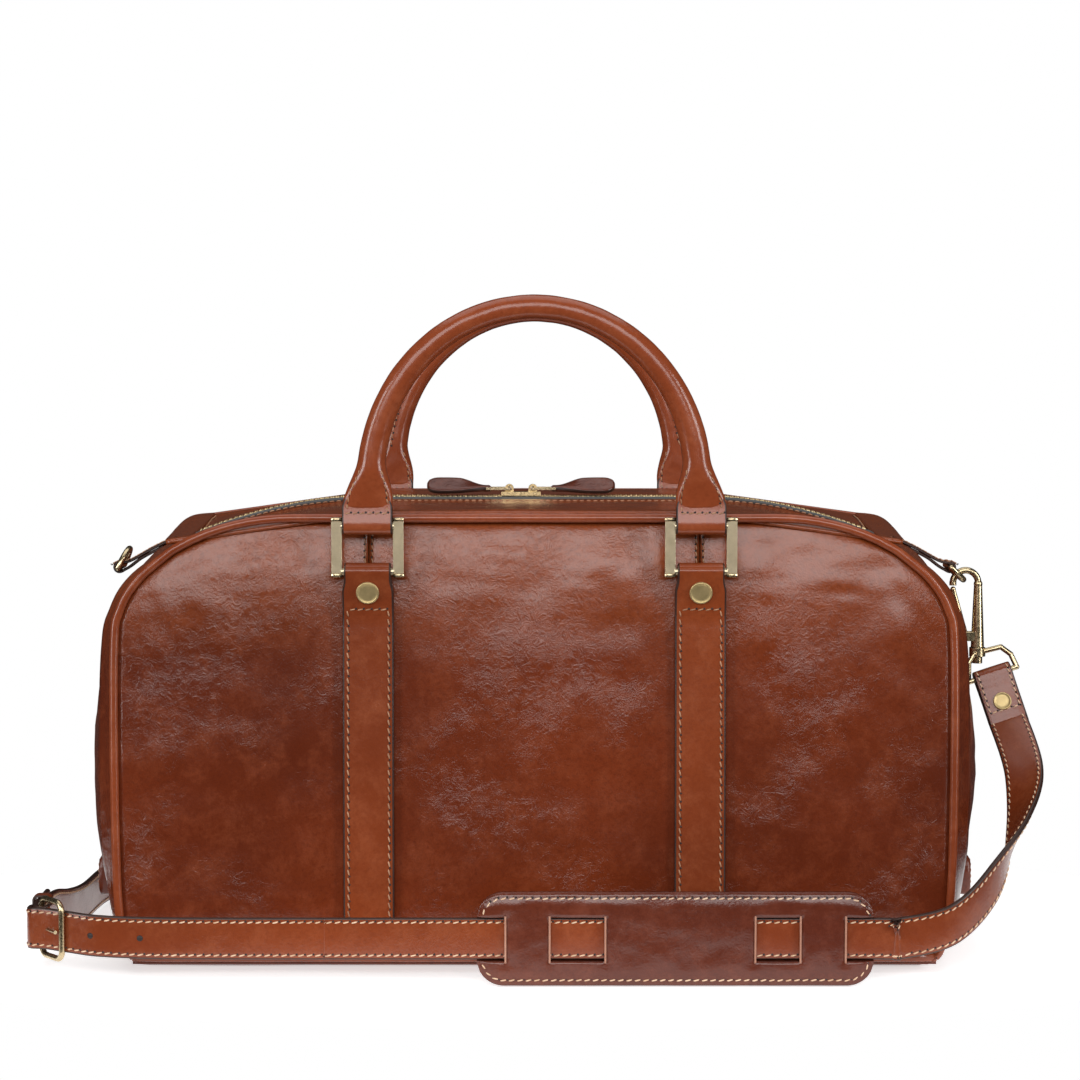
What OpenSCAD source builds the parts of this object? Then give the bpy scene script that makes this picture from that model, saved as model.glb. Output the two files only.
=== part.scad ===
/* [Bag] */
// Half the width of the front and back panels
panel_half = 226; // [210:1:240]
// Depth of the bag at its base, front face to back face
depth_base = 230; // [210:1:240]
// Height of the front panel
front_h = 244; // [238:1:246]
// How far each big panel leans in at its top edge
lean = 10; // [0:1:14]
// How far each big panel swells out at its middle
puff = 4; // [0:1:6]
// Thickness of the shell leather
leather = 2.4; // [1.6:0.2:3]
// Radius of the piping round each big panel
piping_r = 2.4; // [1.8:0.2:2.8]

/* [Handles] */
// Distance of each vertical strap from the middle of the bag
strap_x = 88; // [80:1:96]
// Width of the vertical straps
strap_w = 27; // [24:1:28]
// Distance of the handle rings from the middle plane of the bag
ring_y = 115; // [114:0.5:118]
// Height of the lower bar of a handle ring
ring_low_z = 214; // [210:1:216]
// Height of the upper bar of a handle ring
ring_high_z = 238; // [236:1:240]
// Rise of the handle's arch above its springing line
arch_rise = 91.5; // [80:0.5:100]
// Radius of the rolled handle at the top of its arch
grip_r = 6.25; // [5.5:0.25:7]

/* [Zip] */
// Height of the straight crest of the zip
crest_z = 247; // [246:0.5:249]
// Half the length of the zip
zip_half = 192; // [180:1:193]

/* [Shoulder strap] */
// Width of the shoulder strap
sling_w = 22; // [20:1:24]
// Thickness of the shoulder strap
sling_t = 2.6; // [2:0.2:3]
// Length of the shoulder pad
pad_l = 207; // [200:1:212]
// Height of the shoulder pad
pad_h = 49; // [46:1:50]

/* [Hidden] */

// Leather, thread and metal colours
hide = [0.45, 0.19, 0.11];
hide_light = [0.55, 0.25, 0.14];
hide_dark = [0.32, 0.13, 0.08];
antique_brass = [0.66, 0.58, 0.42];
tape_black = [0.08, 0.06, 0.05];
cotton = [0.62, 0.52, 0.40];
board_grey = [0.35, 0.33, 0.30];

// Shell: the panels stand inside the piping, and every sheet stops short of its neighbours
gap = 0.4;
half_depth = depth_base / 2;
inset = 2 * piping_r + 1.2;
crest_flat = 100;
crest_drop = 0.0068;
crest_power = 1.767;
corner_x = 128;
corner_z = 176;
corner_rx = panel_half - corner_x;
corner_rz = front_h - corner_z;
back_h = crest_z - 1;
back_slope = 0.14;
back_flat = 90;
back_corner = [204, 212];
back_corner_r = 18;
sheet_edge = 3.4;

// Right-hand end of the shell at the front edge, at mid depth and at the back edge, zip end to base
front_end = [[195, 225.6], [212, 211], [222.5, 194], [226, 172], [226, 90], [224, 32], [219, 11], [214.6, 5]];
mid_end = [[195, 226], [217, 215], [231, 190], [241, 160], [249, 100], [239.5, 30], [228, 8], [214.6, 2.4]];
back_end = [[195, 231.3], [212, 228], [222, 212], [225, 172], [226, 90], [224, 32], [219, 11], [214.6, 5]];

// Rings of the handles
bar_r = 2;
bar_gap = 0.3;
loop_wall = 2.1;
loop_r = bar_r + bar_gap + loop_wall;
loop_w = 24;
ring_half = 13.5;
plate_w = 5.5;
plate_t = 3;
plate_over = 2.5;
tab_w = 26.4;
arch_z = 262;
arch_half = 86;
leg_r = 7.5;
rivet_r = 6;

// Zip hardware
chain_half = 3;
chain_slit = 0.7;
chain_t = 2.4;
tape_t = 0.6;
tape_w = 12;
slider_l = 11;
slider_w = 9;
slider_x = [-13.5, -2.1];
link_z = crest_z + 4.7;
link_r = 0.8;
link_l = 12.5;
link_half = 4.6;
link_side = 1.4;
pull_l = 36;
pull_w = 14;
pull_t = 3.8;

// D rings on the ends of the bag: the bar's place, wire radius, bow radius and the ring's lie from +X
d_bar = [236.4, 207.1];
d_wire = 1.7;
d_bow = 11.3;
d_loop_wall = 1.5;
d_tab_w = 13;
d_angle_right = -42;
d_angle_left = 64;
end_tab_x = 243;
end_tab_t = 7.5;

// Snap hooks: the leg, the nose arc and the gate, above the swivel collar
hook_at = [253.4, 0, 158];
hook_leg = 39.6;
hook_arc = 7.2;
hook_wire = 1.9;
collar_h = 5;
collar_r = 4.6;
shank_r = 1.7;
gate_pivot = [-6.5, 9];
gate_tip = [-14.3, 36];
gate_r = 1.4;
rear_hook_at = [52, 142, 17];
rear_loop_half = 13.4;
rear_loop_l = 17;
right_loop_half = 14.4;
loop_wire = 1.5;

// Shoulder strap: both strap ends wrap a bar, at a point and along a direction
fold_r = 3.2;
right_bar = [261.5, -5, 145.5];
right_up = unit([-0.27, 0.36, 0.9]);
right_across = [0.95, 0, 0.31];
pad_x = 73.5;
sling_y = -148;
sling_z = 25;
sling_run = [
    [-267, -70, 25], [-267, -84, 25], [-267, -98, 25], [-267, -114, 25], [-267.2, -122, 26],
    [-265.6, -129.6, 26.6],
    [-256.8, -133.5, 27], [-244.6, -139.2, 26.6],
    [-228, -146, 26], [-200, -149, 25.5], [-160, -148.4, 25.1], [-112, -148, 25], [-96, -148, 25],
    [40, -148, 25], [176, -148, 25], [190, -148, 25], [220, -140, 31], [244, -120, 49], [262, -90, 74], [271, -55, 98]
];
sling_across = concat([for (i = [0:15]) [0, 0, 1]],
    [[-0.1, -0.15, 1], [-0.3, -0.5, 0.8], [0.45, -0.55, 0.66], [0.85, -0.3, 0.3]]);
rear_run = [
    [-263.9, -114, 25], [-263.4, -98, 25], [-263.4, -84, 25], [-263, -66, 23], [-261.5, -40, 18], [-260, 0, 13],
    [-256, 60, 12], [-238, 112, 12], [-190, 141, 12], [-110, 146, 12], [-50, 146.5, 13], [-5, 146, 16], [12, 145.2, 17]
];
buckle_at = [-254, -133.5, 27];
buckle_yaw = -50;
buckle_half = [10.5, 15];
buckle_wire = 1.6;

// ---- shared functions ----
function unit(v) = v / norm(v);
function mix(a, b, t) = a + (b - a) * t;

// Smooth curve through points p, at t from 0 to 1
function curve_at(p, t) =
    let (n = len(p) - 1, s = min(t * n, n - 0.000001), i = floor(s), f = s - i)
    let (a = p[max(i - 1, 0)], b = p[i], c = p[i + 1], d = p[min(i + 2, n)])
    0.5 * (2 * b + (c - a) * f + (2 * a - 5 * b + 4 * c - d) * f * f + (3 * b - a - 3 * c + d) * f * f * f);

// Value at depth fraction t (-1 front, 0 middle, 1 back) of a quantity known at those three places
function across(front, middle, back, t) =
    front * (t * t - t) / 2 + middle * (1 - t * t) + back * (t * t + t) / 2;

// Half the depth of the shell at height z, and the swell of a big panel at (x, z)
function edge_y(z) = half_depth - lean * z / front_h;
function swell(x, z) =
    puff * max(0, 1 - pow(x / panel_half, 2)) * sin(180 * min(1, max(0, z / front_h)));

// Top edges of the front panel, the crest and the back panel, pulled in by i
function front_top(x, i = 0) =
    abs(x) <= corner_x ? front_h - i
    : corner_z + (corner_rz - i) * sqrt(max(0, 1 - pow((abs(x) - corner_x) / (corner_rx - i), 2)));
function mid_top(x) = crest_z - crest_drop * pow(max(0, abs(x) - crest_flat), crest_power);
function back_top(x, i = 0) =
    abs(x) <= back_corner[0] ? back_h - i - back_slope * max(0, abs(x) - back_flat)
    : back_corner[1] + sqrt(max(0, pow(back_corner_r - i, 2) - pow(abs(x) - back_corner[0], 2)));
function top_z(x, t) = across(front_top(x), mid_top(x), back_top(x), t);

// Faces of a closed stack of rings, each of n points
function stack_faces(count, n) = concat(
    [[for (j = [0:n - 1]) j]],
    [for (i = [0:count - 2], j = [0:n - 1]) [i * n + j, (i + 1) * n + j, (i + 1) * n + (j + 1) % n]],
    [for (i = [0:count - 2], j = [0:n - 1]) [i * n + j, (i + 1) * n + (j + 1) % n, i * n + (j + 1) % n]],
    [[for (j = [n - 1:-1:0]) (count - 1) * n + j]]
);
module stack(rings) {
    polyhedron([for (r = rings) each r], stack_faces(len(rings), len(rings[0])));
}

// A sheet between two equal grids of points
module sheet(upper, lower) {
    rows = len(upper);
    stack([for (i = [0:rows - 1])
        concat(upper[i], [for (j = [len(lower[i]) - 1:-1:0]) lower[i][j]])]);
}

// Ribbon of width w and thickness t along path p, with its width lying along u
function ribbon_ring(p, u, i, w, t) =
    let (v = unit(p[min(i + 1, len(p) - 1)] - p[max(i - 1, 0)]),
         n = unit(cross(v, u[i])),
         a = cross(n, v))
    [p[i] - a * w / 2 - n * t / 2, p[i] + a * w / 2 - n * t / 2,
     p[i] + a * w / 2 + n * t / 2, p[i] - a * w / 2 + n * t / 2];
module ribbon(p, u, w, t) {
    stack([for (i = [0:len(p) - 1]) ribbon_ring(p, u, i, w, t)]);
}

// Round rod from a to b
module rod(a, b, r) {
    v = b - a;
    translate(a)
        rotate([0, acos(v[2] / norm(v)), atan2(v[1], v[0])])
            cylinder(h = norm(v), r = r, $fn = 24);
}
module wire(p, r) {
    for (i = [0:len(p) - 2]) rod(p[i], p[i + 1], r);
    for (q = p) translate(q) sphere(r = 1.04 * r, $fn = 24);
}
// Round bar of length l along X or Y, centred
module bar_x(l, r) { rotate([0, 90, 0]) cylinder(h = l, r = r, center = true, $fn = 32); }
module bar_y(l, r) { rotate([90, 0, 0]) cylinder(h = l, r = r, center = true, $fn = 32); }

// ---- shell ----
// Big panel from x0 to x1; side is -1 for the front, 1 for the back
module big_panel(side, x0, x1) {
    cols = ceil((x1 - x0) / 16);
    rows = 8;
    // how far the upright edge pulls in at its foot, and towards the squarer corners of the back
    function taper(z) = 24 * pow(max(0, (26 - z) / 26), 2)
        + (side > 0 ? 5 * max(0, (z - 120) / 92) : 0);
    function lid(x) = side < 0 ? front_top(x, inset) : back_top(x, inset);
    function foot(s) = let (x = mix(x0, x1, s)) abs(x) > 200 ? 1 : 0;
    function spot(s, r, back) =
        let (x = mix(x0, x1, s),
             xin = sign(x) * min(abs(x), panel_half - inset),
             z = mix(inset + 4, lid(xin), r),
             xs = xin - sign(x) * taper(z) * foot(s))
        [xs, side * (edge_y(z) + swell(xin, z) - back), z];
    outer = [for (i = [0:cols]) [for (j = [0:rows]) spot(i / cols, j / rows, 0)]];
    inner = [for (i = [0:cols]) [for (j = [0:rows]) spot(i / cols, j / rows, leather)]];
    if (side < 0) sheet(inner, outer);
    else sheet(outer, inner);
}
module panel_set(side, part) {
    edge = panel_half - inset;
    if (part == 0) big_panel(side, -edge, -strap_x - gap);
    if (part == 1) big_panel(side, -strap_x + gap, strap_x - gap);
    if (part == 2) big_panel(side, strap_x + gap, edge);
}

// Strip of the top, between depths y0 and y1, d below the top surface and t thick
module top_strip(y0, y1, d, t, steps) {
    cols = 26;
    function at(i, j, drop) =
        let (x = mix(-zip_half, zip_half, i / cols), y = mix(y0, y1, j / steps))
        [x, y, top_z(x, y / edge_y(front_h)) - d - drop];
    sheet([for (i = [0:cols]) [for (j = [0:steps]) at(i, j, 0)]],
          [for (i = [0:cols]) [for (j = [0:steps]) at(i, j, t)]]);
}
module zip_band(side) {
    y0 = tape_w + gap;
    y1 = edge_y(front_h) - sheet_edge - 2 * piping_r;
    if (side < 0) top_strip(-y1, -y0, 0, leather, 8);
    else top_strip(y0, y1, 0, leather, 8);
}
module zip_tape(side) {
    y0 = chain_half + gap;
    if (side < 0) top_strip(-tape_w, -y0, -tape_t / 2, tape_t, 1);
    else top_strip(y0, tape_w, -tape_t / 2, tape_t, 1);
}
module zip_chain() {
    color(antique_brass) {
        top_strip(-chain_half, -chain_slit, -chain_t / 2, chain_t, 1);
        top_strip(chain_slit, chain_half, -chain_t / 2, chain_t, 1);
    }
}

// End of the bag; the grid runs from the zip's end round to the base
module end_gusset(side) {
    steps = 21;
    cols = 10;
    function bend(v, t) = across(curve_at(front_end, v), curve_at(mid_end, v), curve_at(back_end, v), t);
    function spot(v, c, back) =
        let (t = mix(-1, 1, c), q = bend(v, t), e = unit(bend(min(1, v + 0.01), t) - bend(max(0, v - 0.01), t)),
             p = q + back * [e[1], -e[0]], y = t * (edge_y(p[1]) - sheet_edge - 2 * piping_r))
        [side * (p[0] + gap), y, p[1]];
    outer = [for (i = [0:steps]) [for (j = [0:cols]) spot(i / steps, j / cols, 0)]];
    inner = [for (i = [0:steps]) [for (j = [0:cols]) spot(i / steps, j / cols, leather)]];
    if (side > 0) sheet(outer, inner);
    else sheet(inner, outer);
}

// Piping round a big panel: one closed loop of cord covered in leather
module piping(side) {
    ends = side < 0 ? front_end : back_end;
    tops = [for (x = [0:24:192]) [x, side < 0 ? front_top(x) : back_top(x)]];
    right = concat(tops, [for (i = [0:18]) curve_at(ends, i / 18)], [[150, 4.8], [50, 4.8]]);
    loop = concat(right, [for (i = [len(right) - 1:-1:1]) [-right[i][0], right[i][1]]]);
    n = len(loop);
    sides = 8;
    rings = [for (i = [0:n - 1])
        let (v = unit(loop[(i + 1) % n] - loop[(i + n - 1) % n]), m = [v[1], -v[0]], c = loop[i] + piping_r * m)
        [for (k = [0:sides - 1]) let (a = 360 * k / sides, q = c + piping_r * cos(a) * m)
            [q[0], side * (edge_y(q[1]) + piping_r * sin(a)), q[1]]]];
    faces = [for (i = [0:n - 1], k = [0:sides - 1], half_face = [0, 1])
        let (a = i * sides, b = ((i + 1) % n) * sides, k2 = (k + 1) % sides)
        half_face == 0 ? [a + k, b + k, b + k2] : [a + k, b + k2, a + k2]];
    polyhedron([for (r = rings) each r],
        side < 0 ? faces : [for (f = faces) [f[2], f[1], f[0]]]);
}

module base_panel() {
    color(hide) linear_extrude(3) round_rect(214, 104, 8);
}
module base_board() {
    color(board_grey) translate([0, 0, 3.4]) linear_extrude(2.4) round_rect(206, 100, 6);
}
// Rectangle of half sizes hx and hy with rounded corners
module round_rect(hx, hy, r) {
    square([2 * (hx - r), 2 * hy], center = true);
    square([2 * hx, 2 * (hy - r)], center = true);
    for (sx = [-1, 1], sy = [-1, 1]) translate([sx * (hx - r), sy * (hy - r)]) circle(r = r, $fn = 32);
}

// Cloth lining: an open tub standing on the base board
module lining() {
    wall = 1.2;
    heights = [7, 20, 60, 120, 170, 200, 220, 232];
    function half_x(z) = z < 170 ? 212 : 122 + 90 * sqrt(1 - pow((z - 170) / 68, 2));
    function ring(z, d) =
        let (hx = half_x(z) - d, hy = edge_y(z) - 9 - d, r = 22 - d)
        [for (q = [0:3], k = [0:3])
            let (a = 90 * q + 30 * k,
                 sx = (q == 0 || q == 3) ? 1 : -1,
                 sy = q < 2 ? 1 : -1)
            [sx * (hx - r) + r * cos(a), sy * (hy - r) + r * sin(a), z]];
    color(cotton) stack(concat(
        [for (z = heights) ring(z, 0)],
        [for (i = [len(heights) - 1:-1:1]) ring(heights[i], wall)],
        [ring(heights[0] + wall, wall)]));
}

// ---- vertical straps with their ring loops ----
// Loop of leather round a bar along X at the origin, its tails running to the points of a side outline
module bar_loop(w, outline) {
    difference() {
        union() {
            bar_x(w, loop_r);
            rotate([90, 0, 90]) linear_extrude(w, center = true) polygon(outline);
        }
        bar_x(w + 2, bar_r + bar_gap);
    }
}
module vertical_strap(side, x0) {
    loop_low = 17;
    face = edge_y(ring_low_z - loop_low) + swell(strap_x, ring_low_z - loop_low) + gap;
    y_out = ring_y - face - 5.4;
    y_in = ring_y - face;
    translate([x0, side * ring_y, ring_low_z])
        mirror([0, side < 0 ? 0 : 1, 0])
            bar_loop(loop_w, [[-loop_r, 0], [y_out, -loop_low], [y_in, -loop_low], [loop_r, 0]]);
    steps = 14;
    function at(j, d) = let (z = mix(inset + 4.5, ring_low_z - loop_low + 1, j / steps))
        side * (edge_y(z) + swell(strap_x, z) + gap + d);
    function row(x, d) = [for (j = [0:steps])
        [x, at(j, d), mix(inset + 4.5, ring_low_z - loop_low + 1, j / steps)]];
    near = [row(x0 - strap_w / 2, 2.8), row(x0 + strap_w / 2, 2.8)];
    far = [row(x0 - strap_w / 2, 0), row(x0 + strap_w / 2, 0)];
    if (side < 0) sheet(far, near);
    else sheet(near, far);
}
module strap_rivets() {
    drop = 11;
    // the strap hangs back in under its loop by this many degrees
    tilt = 15.6;
    color(antique_brass)
        for (side = [-1, 1], s = [-1, 1])
            translate([s * strap_x, side * (ring_y + loop_r - drop * tan(tilt)), ring_low_z - drop])
                rotate([side * (-90 - tilt), 0, 0]) {
                    cylinder(h = 1.2, r = rivet_r, $fn = 48);
                    translate([0, 0, -4]) cylinder(h = 4.5, r = 1.5, $fn = 24);
                }
}

// ---- rings and handles ----
module handle_ring(side, x0) {
    color(antique_brass) translate([x0, side * ring_y, 0]) {
        for (z = [ring_low_z, ring_high_z]) translate([0, 0, z]) bar_x(2 * ring_half + 1, bar_r);
        for (s = [-1, 1])
            translate([s * (ring_half + plate_w / 2) - plate_w / 2, -plate_t / 2, ring_low_z - plate_over])
                cube([plate_w, plate_t, ring_high_z - ring_low_z + 2 * plate_over + 1.5]);
    }
}
// Centre of the handle's arch at angle a, and its half sizes across and through
function arch_at(a) = [arch_half * cos(a), arch_z + arch_rise * sin(a)];
function flare(a) = let (f = max(0, (12 - min(a, 180 - a)) / 26)) min(1, f);
function grip_size(a) =
    let (r = mix(leg_r, grip_r, sin(max(0, min(180, a)))), f = flare(a), g = f * f * (3 - 2 * f))
    [mix(r, tab_w / 2, g), mix(r, 2.9, g)];
function grip_ring(a, wall, side) =
    let (c = arch_at(a), c1 = arch_at(a + 1), c0 = arch_at(a - 1), v = unit(c1 - c0),
         m = [v[1], -v[0]], h = grip_size(a), n = 14)
    [for (k = [0:n - 1]) let (b = 360 * k / n, u = (h[0] - wall) * cos(b))
        [c[0] + m[0] * u, side * ring_y + (h[1] - wall) * sin(b), c[1] + m[1] * u]];
module handle(side) {
    // the roll starts just above the ring's upper bar
    first = -8;
    difference() {
        stack([for (i = [0:34]) grip_ring(mix(first, 180 - first, i / 34), 0, side)]);
        stack([for (i = [0:30]) grip_ring(mix(-1, 181, i / 30), leather, side)]);
        // the seam where the wrapped leather meets, on the side towards the bag
        stack([for (i = [0:24])
                let (a = mix(2, 178, i / 24), c = arch_at(a), m = unit([cos(a), sin(a)]),
                     y0 = side * ring_y - (side > 0 ? 9 : -1), y1 = side * ring_y + (side > 0 ? -1 : 9))
                [for (q = [[-0.3, y0], [0.3, y0], [0.3, y1], [-0.3, y1]])
                    [c[0] + m[0] * q[0], q[1], c[1] + m[1] * q[0]]]]);
    }
    for (s = [-1, 1])
        translate([s * strap_x, side * ring_y, ring_high_z])
            bar_loop(tab_w, [[-loop_r, 0], [-2.9, 12], [2.9, 12], [loop_r, 0]]);
}
module handle_core(side) {
    stack([for (i = [0:24]) grip_ring(mix(6, 174, i / 24), leather + 0.3, side)]);
}

// ---- end tabs and D rings ----
module d_tab(side) {
    bore = d_wire + bar_gap;
    mirror([side < 0 ? 1 : 0, 0, 0]) difference() {
        union() {
            translate([d_bar[0], 0, d_bar[1]]) bar_y(d_tab_w, bore + d_loop_wall);
            rotate([90, 0, 0])
                linear_extrude(d_tab_w, center = true)
                    polygon([[211.4, 219.1], [212.4, 221.5], [219, 219.1], d_bar + [1.5, 2.8],
                             d_bar + [-1.5, -3.2], [219.2, 215.8]]);
        }
        translate([d_bar[0], 0, d_bar[1]]) bar_y(d_tab_w + 2, bore);
    }
}
// Ring with its bar along Y at the origin and its bow towards +X
module d_ring_shape() {
    rod([0, -d_bow, 0], [0, d_bow, 0], d_wire);
    for (s = [-1, 1]) translate([0, s * d_bow, 0]) sphere(r = d_wire, $fn = 24);
    rotate([0, 0, -90])
        rotate_extrude(angle = 180, $fn = 64) translate([d_bow, 0]) circle(r = d_wire, $fn = 24);
}
module d_ring(side, angle) {
    color(antique_brass)
        translate([side * d_bar[0], 0, d_bar[1]]) rotate([0, -angle, 0]) d_ring_shape();
}
// Small folded tab low on each end
module end_tab(side) {
    mirror([side < 0 ? 1 : 0, 0, 0])
        translate([0, 0, 29])
            rotate([0, 90, 0])
                translate([0, 0, end_tab_x])
                    linear_extrude(end_tab_t) round_rect(11.5, 7.5, 5);
}

// ---- zip sliders and pullers ----
module slider(k) {
    s = k == 0 ? -1 : 1;
    x0 = slider_x[k];
    hook_x = x0 + s;
    color(antique_brass) {
        for (d = [-1, 1]) {
            z0 = crest_z + d * (chain_t / 2 + 0.4 + (d < 0 ? 1.2 : 0));
            translate([x0 - slider_l / 2, -slider_w / 2, z0]) cube([slider_l, slider_w, 1.2]);
            for (e = [-1, 1])
                translate([x0 - slider_l / 2, e * (slider_w / 2 - 0.55) - 0.55,
                           d > 0 ? crest_z + tape_t / 2 + 0.3 : crest_z - tape_t / 2 - 1.9])
                    cube([slider_l, 1.1, 1.6]);
        }
        translate([x0 - 4, -0.35, crest_z - chain_t / 2 - 0.6]) cube([8, 0.7, chain_t + 1.2]);
        difference() {
            union() {
                translate([hook_x, 0, link_z]) bar_y(3, 2.5);
                translate([hook_x - 2.5, -1.5, crest_z + 2.5]) cube([5, 3, link_z - crest_z - 2.5]);
            }
            translate([hook_x, 0, link_z]) bar_y(5, link_r + 0.4);
        }
    }
}
module pull_link(k) {
    s = k == 0 ? -1 : 1;
    x0 = slider_x[k] + s;
    x1 = x0 + s * link_l;
    color(antique_brass) {
        for (x = [x0, x1]) translate([x, 0, link_z]) bar_y(2 * (link_half + link_r), link_r);
        for (e = [-1, 1])
            translate([min(x0, x1), e * link_half - link_side / 2, link_z - link_side / 2])
                cube([link_l, link_side, link_side]);
    }
}
module pull_tab(k) {
    s = k == 0 ? -1 : 1;
    x1 = slider_x[k] + s + s * link_l;
    neck = 3.4;
    color(hide_dark) translate([x1, 0, link_z]) mirror([s < 0 ? 1 : 0, 0, 0]) difference() {
        translate([0, 0, -pull_t / 2]) linear_extrude(pull_t) {
            polygon([[-2.4, -neck], [-2.4, neck], [2, neck], [8, 5.6], [pull_l - 8.5, pull_w / 2],
                     [pull_l - 8.5, -pull_w / 2], [8, -5.6], [2, -neck]]);
            translate([pull_l - 8.5, 0]) circle(r = pull_w / 2, $fn = 48);
        }
        bar_y(2 * neck + 4, link_r + 0.35);
    }
}

// ---- snap hooks; each is drawn on its swivel axis, with its nose upwards ----
module clip_hook() {
    color(antique_brass) {
        translate([0, 0, -collar_h / 2 - 4]) cylinder(h = 3.6, r = 2.9, $fn = 32);
        translate([0, 0, -collar_h / 2 - 1]) cylinder(h = collar_h + 3, r = shank_r, $fn = 32);
        translate([0, 0, collar_h / 2 + 0.4])
            cylinder(h = hook_leg - collar_h / 2 - 0.4, r1 = 3.8, r2 = 2.3, $fn = 32);
        translate([-hook_arc, 0, hook_leg]) rotate([90, 0, 0])
            rotate_extrude(angle = 180, $fn = 64) translate([hook_arc, 0]) circle(r = hook_wire, $fn = 32);
        translate([0, 0, hook_leg - 0.6]) sphere(r = 2.5, $fn = 32);
        translate([-2 * hook_arc, 0, hook_leg - 1.4]) cylinder(h = 2.2, r = 1.06 * hook_wire, $fn = 32);
        for (e = [-1, 1])
            translate([0, e * 2.4, 0]) {
                translate([gate_pivot[0], 0, gate_pivot[1]]) bar_y(1.2, 2.6);
                translate([gate_pivot[0], -0.6, gate_pivot[1] - 2.6]) cube([-gate_pivot[0], 1.2, 5.2]);
            }
        translate([gate_pivot[0], 0, gate_pivot[1]]) bar_y(6, 1);
    }
}
module clip_gate() {
    pivot = [gate_pivot[0], 0, gate_pivot[1]];
    tip = [gate_tip[0], 0, gate_tip[1]];
    color(antique_brass) difference() {
        union() {
            translate(pivot) bar_y(3, 2.3);
            rod(pivot, tip, gate_r);
            translate(tip) sphere(r = 1.1 * gate_r, $fn = 24);
        }
        translate(pivot) bar_y(5, 1.1);
    }
}
// Collar that the hook turns in, and the wire loop that the strap end holds
module swivel_collar() {
    difference() {
        cylinder(h = collar_h, r = collar_r, center = true, $fn = 48);
        cylinder(h = collar_h + 2, r = shank_r + 0.3, center = true, $fn = 32);
    }
}
module swivel_loop_right() {
    across_bar = unit(right_across);
    a = right_bar - right_loop_half * across_bar;
    b = right_bar + right_loop_half * across_bar;
    color(antique_brass) {
        translate(hook_at) swivel_collar();
        wire([[251, -4, 157.2], [247.8, -5, 152], a, b, [272, -3, 157], [266.5, -2, 161], [257.2, -1.4, 158.6]],
             loop_wire);
    }
}
module swivel_loop_left() {
    c = rear_hook_at;
    x1 = c[0] - collar_h / 2;
    x0 = c[0] - collar_h - rear_loop_l;
    color(antique_brass) {
        translate(c) rotate([0, 90, 0]) swivel_collar();
        wire([[x1 + 2, c[1], c[2] + 3.4], [x1 - 7, c[1], c[2] + rear_loop_half],
              [x0, c[1], c[2] + rear_loop_half], [x0, c[1], c[2] - rear_loop_half],
              [x1 - 7, c[1], c[2] - rear_loop_half], [x1 + 2, c[1], c[2] - 3.4]], loop_wire);
    }
}
module at_hook_right() { translate(hook_at) children(); }
module at_hook_left() { translate(rear_hook_at) rotate([0, 90, 0]) rotate([0, 0, 90]) children(); }

// ---- shoulder strap ----
// Points of a strap end folded over a bar: up the back at distance fold_r, over, and down the front
function fold_points(bar, up, across_dir, tail) =
    let (n = unit(cross(up, across_dir)))
    concat(
        [bar + 1.7 * n - 24 * up, bar + 1.9 * n - 12 * up, bar + 2.6 * n - 5 * up],
        [for (a = [0:30:180]) bar + fold_r * (cos(a) * n + sin(a) * up)],
        [bar - 2.6 * n - 5 * up, bar - 1.9 * n - 12 * up, bar - 1.7 * n - tail * up]);
module shoulder_strap_long() {
    steps = 60;
    tail = fold_points(right_bar, right_up, right_across, 31);
    route = concat(sling_run, [tail[0]]);
    turns = concat(sling_across, [right_across]);
    path = concat([for (i = [0:steps - 1]) curve_at(route, i / steps)], tail);
    dirs = concat([for (i = [0:steps - 1]) unit(curve_at(turns, i / steps))],
        [for (p = tail) unit(right_across)]);
    color(hide_light) difference() {
        ribbon(path, dirs, sling_w, sling_t);
        // slot that the buckle's prong stands in
        translate(buckle_at) rotate([0, 0, buckle_yaw]) translate([-6, -10, -1.6]) cube([10, 16, 3.2]);
    }
}
module shoulder_strap_short() {
    heel = buckle_local([-buckle_half[0], 0, 0]);
    bar = [rear_hook_at[0] - collar_h - rear_loop_l, rear_hook_at[1], rear_hook_at[2]];
    heel_fold = [for (a = [0:-30:-180]) heel + fold_r * [cos(a), sin(a), 0]];
    rear_fold = [for (a = [90:-30:-90]) bar + fold_r * [cos(a), sin(a), 0]];
    path = concat(
        [heel + [2.4, 22, -2], heel + [2.8, 8, -1]], heel_fold,
        [for (i = [0:48]) curve_at(rear_run, i / 48)], rear_fold,
        [bar + [-8, -2.4, 0], bar + [-26, -1.4, 0]]);
    color(hide_light) difference() {
        ribbon(path, [for (p = path) [0, 0, 1]], sling_w, sling_t);
        // slot round the root of the buckle's prong
        translate(heel) cylinder(h = 4, r = 6, center = true, $fn = 32);
    }
}
module strap_end_rivets() {
    n = unit(cross(right_up, right_across));
    c = right_bar - 17 * right_up;
    color(antique_brass) {
        rod(c - 2 * n, c - 4.4 * n, 5);
        rod(c + 3.4 * n, c - 3.4 * n, 1.5);
    }
}

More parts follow.
